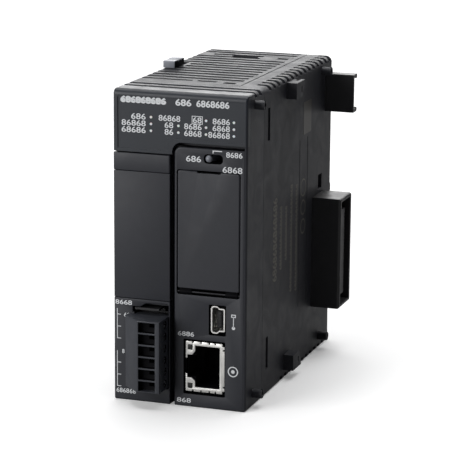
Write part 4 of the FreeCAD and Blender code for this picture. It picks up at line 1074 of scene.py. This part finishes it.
class MODULE_OT_side_marks(bpy.types.Operator):
    """Prints the faint marks, the label and the mould lines of the right side"""

    bl_idname = "module.side_marks"
    bl_label = "Side marks"

    def execute(self, context):
        side = right_plane()
        print_marks("side_word", draw_side_word, side, "print_faint")
        print_marks("side_columns", draw_side_columns, side, "print_faint")
        print_marks("side_label", draw_label, side, "label_film", 0.05 * MM)
        print_marks("mould_lines", draw_mould_lines, side, "housing", 0.08 * MM)
        return {"FINISHED"}


# ---------------------------------------------------------------- small parts
def two_ended_parts(bodies, ends, face, outward, places):
    """Chip resistors on a board face that looks along X; places are (y, z) in millimetres."""
    rise = outward * 0.28
    for y, z in places:
        foot = spot(face, y, z)
        soft_block(bodies, foot + Vector((rise, 0, 0)) * MM, Vector(RESISTOR_BODY) * MM,
                   RESISTOR_EDGE * MM)
        for side in (-1, 1):
            soft_block(ends, foot + Vector((rise, side * 0.70, 0)) * MM,
                       Vector(RESISTOR_END) * MM, RESISTOR_EDGE * MM)


def leaded_chip(bodies, ends, face, outward, y, z, legs):
    """A chip with a row of bent legs above and below it."""
    foot = spot(face, y, z)
    size = Vector((CHIP_THICK, legs * LEG_PITCH + 0.6, CHIP_TALL)) * MM
    soft_block(bodies, foot + Vector((outward * 1.0, 0, 0)) * MM, size, CHIP_EDGE * MM)
    for index in range(legs):
        along = (index - (legs - 1) / 2) * LEG_PITCH
        for side in (-1, 1):
            soft_block(ends, foot + Vector((outward * 0.6, along, side * 2.25)) * MM,
                       Vector((1.1, LEG_WIDE, 0.22)) * MM, LEG_EDGE * MM)
            soft_block(ends, foot + Vector((outward * 0.12, along, side * 2.65)) * MM,
                       Vector((0.2, LEG_WIDE, 0.9)) * MM, LEG_EDGE * MM)


class MODULE_OT_board_parts(bpy.types.Operator):
    """Fills both boards with small parts that show through the cooling slots"""

    bl_idname = "module.board_parts"
    bl_label = "Board parts"

    def execute(self, context):
        bodies = bmesh.new()
        ends = bmesh.new()
        left_face = (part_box("left_board")[1].x - CORNER.x) / MM
        main_face = (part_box("main_board")[0].x - CORNER.x) / MM
        rows = [(22.0 + step * 3.4, 90.2 - 2.1 * (step % 2)) for step in range(16)]
        two_ended_parts(bodies, ends, left_face, 1, rows)
        two_ended_parts(bodies, ends, main_face, -1, rows)
        for y, legs in ((28.0, 7), (46.0, 8)):
            leaded_chip(bodies, ends, left_face, 1, y, 80.0, legs)
            leaded_chip(bodies, ends, main_face, -1, y + 4.0, 82.0, legs)
        add_piece("small_chip_bodies", bodies, "chip_black", "housing")
        add_piece("small_chip_ends", ends, "tin_contact", "housing")
        return {"FINISHED"}


class MODULE_OT_socket_slots(bpy.types.Operator):
    """Marks the five contact slots in the end of the service socket's tongue with dark blocks as painted
    shade
    """

    bl_idname = "module.socket_slots"
    bl_label = "Socket slots"

    def execute(self, context):
        low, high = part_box("usb_tongue")
        shape = bmesh.new()
        pitch = (high.z - low.z) / 5.6
        for index in range(SOCKET_CONTACTS):
            rise = (index - (SOCKET_CONTACTS - 1) / 2) * pitch
            middle = Vector((low.x + 0.66 * (high.x - low.x), low.y,
                             (low.z + high.z) / 2 + rise))
            soft_block(shape, middle, Vector(SOCKET_SLOT) * MM, SOCKET_SLOT_EDGE * MM)
        # Dark blocks set on the tongue's end paint the shade of the slot openings.
        add_piece("tongue_slots", shape, "dark_plastic", "housing")
        return {"FINISHED"}


# ---------------------------------------------------------------- stage
def area_light(name, place, aim, width, height, power):
    """Soft rectangular light that the camera doesn't see."""
    light = bpy.data.lights.new(name, "AREA")
    light.shape = "RECTANGLE"
    light.size = width
    light.size_y = height
    light.energy = power
    lamp = bpy.data.objects.new(name, light)
    lamp.location = place
    lamp.rotation_mode = "QUATERNION"
    lamp.rotation_quaternion = (Vector(aim) - Vector(place)).to_track_quat("-Z", "Y")
    lamp.visible_camera = False
    bpy.context.scene.collection.objects.link(lamp)


def pale_floor(stage):
    """Large pale floor that throws only part of its light back on the module."""
    shape = bmesh.new()
    bmesh.ops.create_grid(shape, x_segments=1, y_segments=1, size=FLOOR_HALF)
    mesh = bpy.data.meshes.new("floor")
    shape.to_mesh(mesh)
    shape.free()
    floor = bpy.data.objects.new("floor", mesh)
    floor.location.z = CORNER.z - FLOOR_GAP
    bpy.context.scene.collection.objects.link(floor)
    material, tree, shader = new_material("floor_paper")
    rays = put(tree, "LightPath").outputs
    mirrored = maths(tree, "MULTIPLY", rays["Is Glossy Ray"], stage.mirrored)
    seen = maths(tree, "MAXIMUM", rays["Is Camera Ray"], mirrored)
    bounce = (stage.bounce, stage.bounce, stage.bounce)
    tree.links.new(blend_colours(tree, seen, bounce, tuple(stage.floor)),
                   shader.inputs["Base Color"])
    tree.links.new(blend_colours(tree, rays["Is Camera Ray"], (0.0, 0.0, 0.0), (1.0, 1.0, 1.0)),
                   shader.inputs["Emission Color"])
    shader.inputs["Emission Strength"].default_value = stage.glow
    shader.inputs["Roughness"].default_value = 0.9
    shader.inputs["Specular IOR Level"].default_value = 0.1
    mesh.materials.append(material)


def white_surroundings(stage):
    """Near-white world behind the floor, and a softer one for the light it gives."""
    world = bpy.data.worlds.new("studio")
    world.use_nodes = True
    tree = world.node_tree
    seen = put(tree, "LightPath").outputs["Is Camera Ray"]
    soft = (stage.ambient, stage.ambient, stage.ambient * 1.06)
    tree.links.new(blend_colours(tree, seen, soft, (1.0, 1.0, 1.0)),
                   tree.nodes["Background"].inputs["Color"])
    bpy.context.scene.world = world


def add_camera(stage):
    """Camera at the stated turn, height and distance from its aim point."""
    data = bpy.data.cameras.new("camera")
    data.lens = stage.lens
    data.sensor_width = 36.0
    camera = bpy.data.objects.new("camera", data)
    flat = math.cos(stage.elevation)
    back = Vector((math.sin(stage.azimuth) * flat, -math.cos(stage.azimuth) * flat,
                   math.sin(stage.elevation)))
    camera.location = spot(*CAMERA_AIM) + back * stage.distance
    camera.rotation_mode = "QUATERNION"
    camera.rotation_quaternion = ((-back).to_track_quat("-Z", "Y")
                                  @ Quaternion((0, 0, 1), stage.roll))
    data.clip_start = 0.05
    data.clip_end = 60.0
    bpy.context.scene.collection.objects.link(camera)
    bpy.context.scene.camera = camera


class MODULE_OT_stage(bpy.types.Operator):
    """Sets the floor, the soft lights and the camera"""

    bl_idname = "module.stage"
    bl_label = "Studio stage"

    def execute(self, context):
        stage = context.scene.module_stage
        context.scene.view_settings.view_transform = "Standard"
        pale_floor(stage)
        white_surroundings(stage)
        add_camera(stage)
        for name, (place, aim, width, height, power) in LIGHTS.items():
            area_light(name, place, aim, width, height, getattr(stage, power))
        return {"FINISHED"}


OPERATORS = (MODULE_OT_dress_frame, MODULE_OT_rounded_parts, MODULE_OT_front_marks,
             MODULE_OT_side_marks, MODULE_OT_board_parts, MODULE_OT_socket_slots,
             MODULE_OT_stage)


class MODULE_PT_sidebar(bpy.types.Panel):
    """Lists the module's operators and settings"""

    bl_label = "Controller module"
    bl_idname = "MODULE_PT_sidebar"
    bl_space_type = "VIEW_3D"
    bl_region_type = "UI"
    bl_category = "Module"

    def draw(self, context):
        column = self.layout.column()
        for kind in OPERATORS:
            column.operator(kind.bl_idname)
        for settings in (context.scene.module_plastic, context.scene.module_print,
                         context.scene.module_stage):
            for name in settings.bl_rna.properties.keys():
                if name not in ("rna_type", "name"):
                    column.prop(settings, name)


CLASSES = (PlasticSettings, PrintSettings, StageSettings, *OPERATORS, MODULE_PT_sidebar)


def register():
    for kind in CLASSES:
        bpy.utils.register_class(kind)
    bpy.types.Scene.module_plastic = PointerProperty(type=PlasticSettings)
    bpy.types.Scene.module_print = PointerProperty(type=PrintSettings)
    bpy.types.Scene.module_stage = PointerProperty(type=StageSettings)


def unregister():
    del bpy.types.Scene.module_stage
    del bpy.types.Scene.module_print
    del bpy.types.Scene.module_plastic
    for kind in reversed(CLASSES):
        bpy.utils.unregister_class(kind)


def main():
    register()
    bpy.ops.module.dress_frame()
    bpy.ops.module.rounded_parts()
    bpy.ops.module.front_marks()
    bpy.ops.module.side_marks()
    bpy.ops.module.board_parts()
    bpy.ops.module.socket_slots()
    bpy.ops.module.stage()


if __name__ == "__main__":
    main()
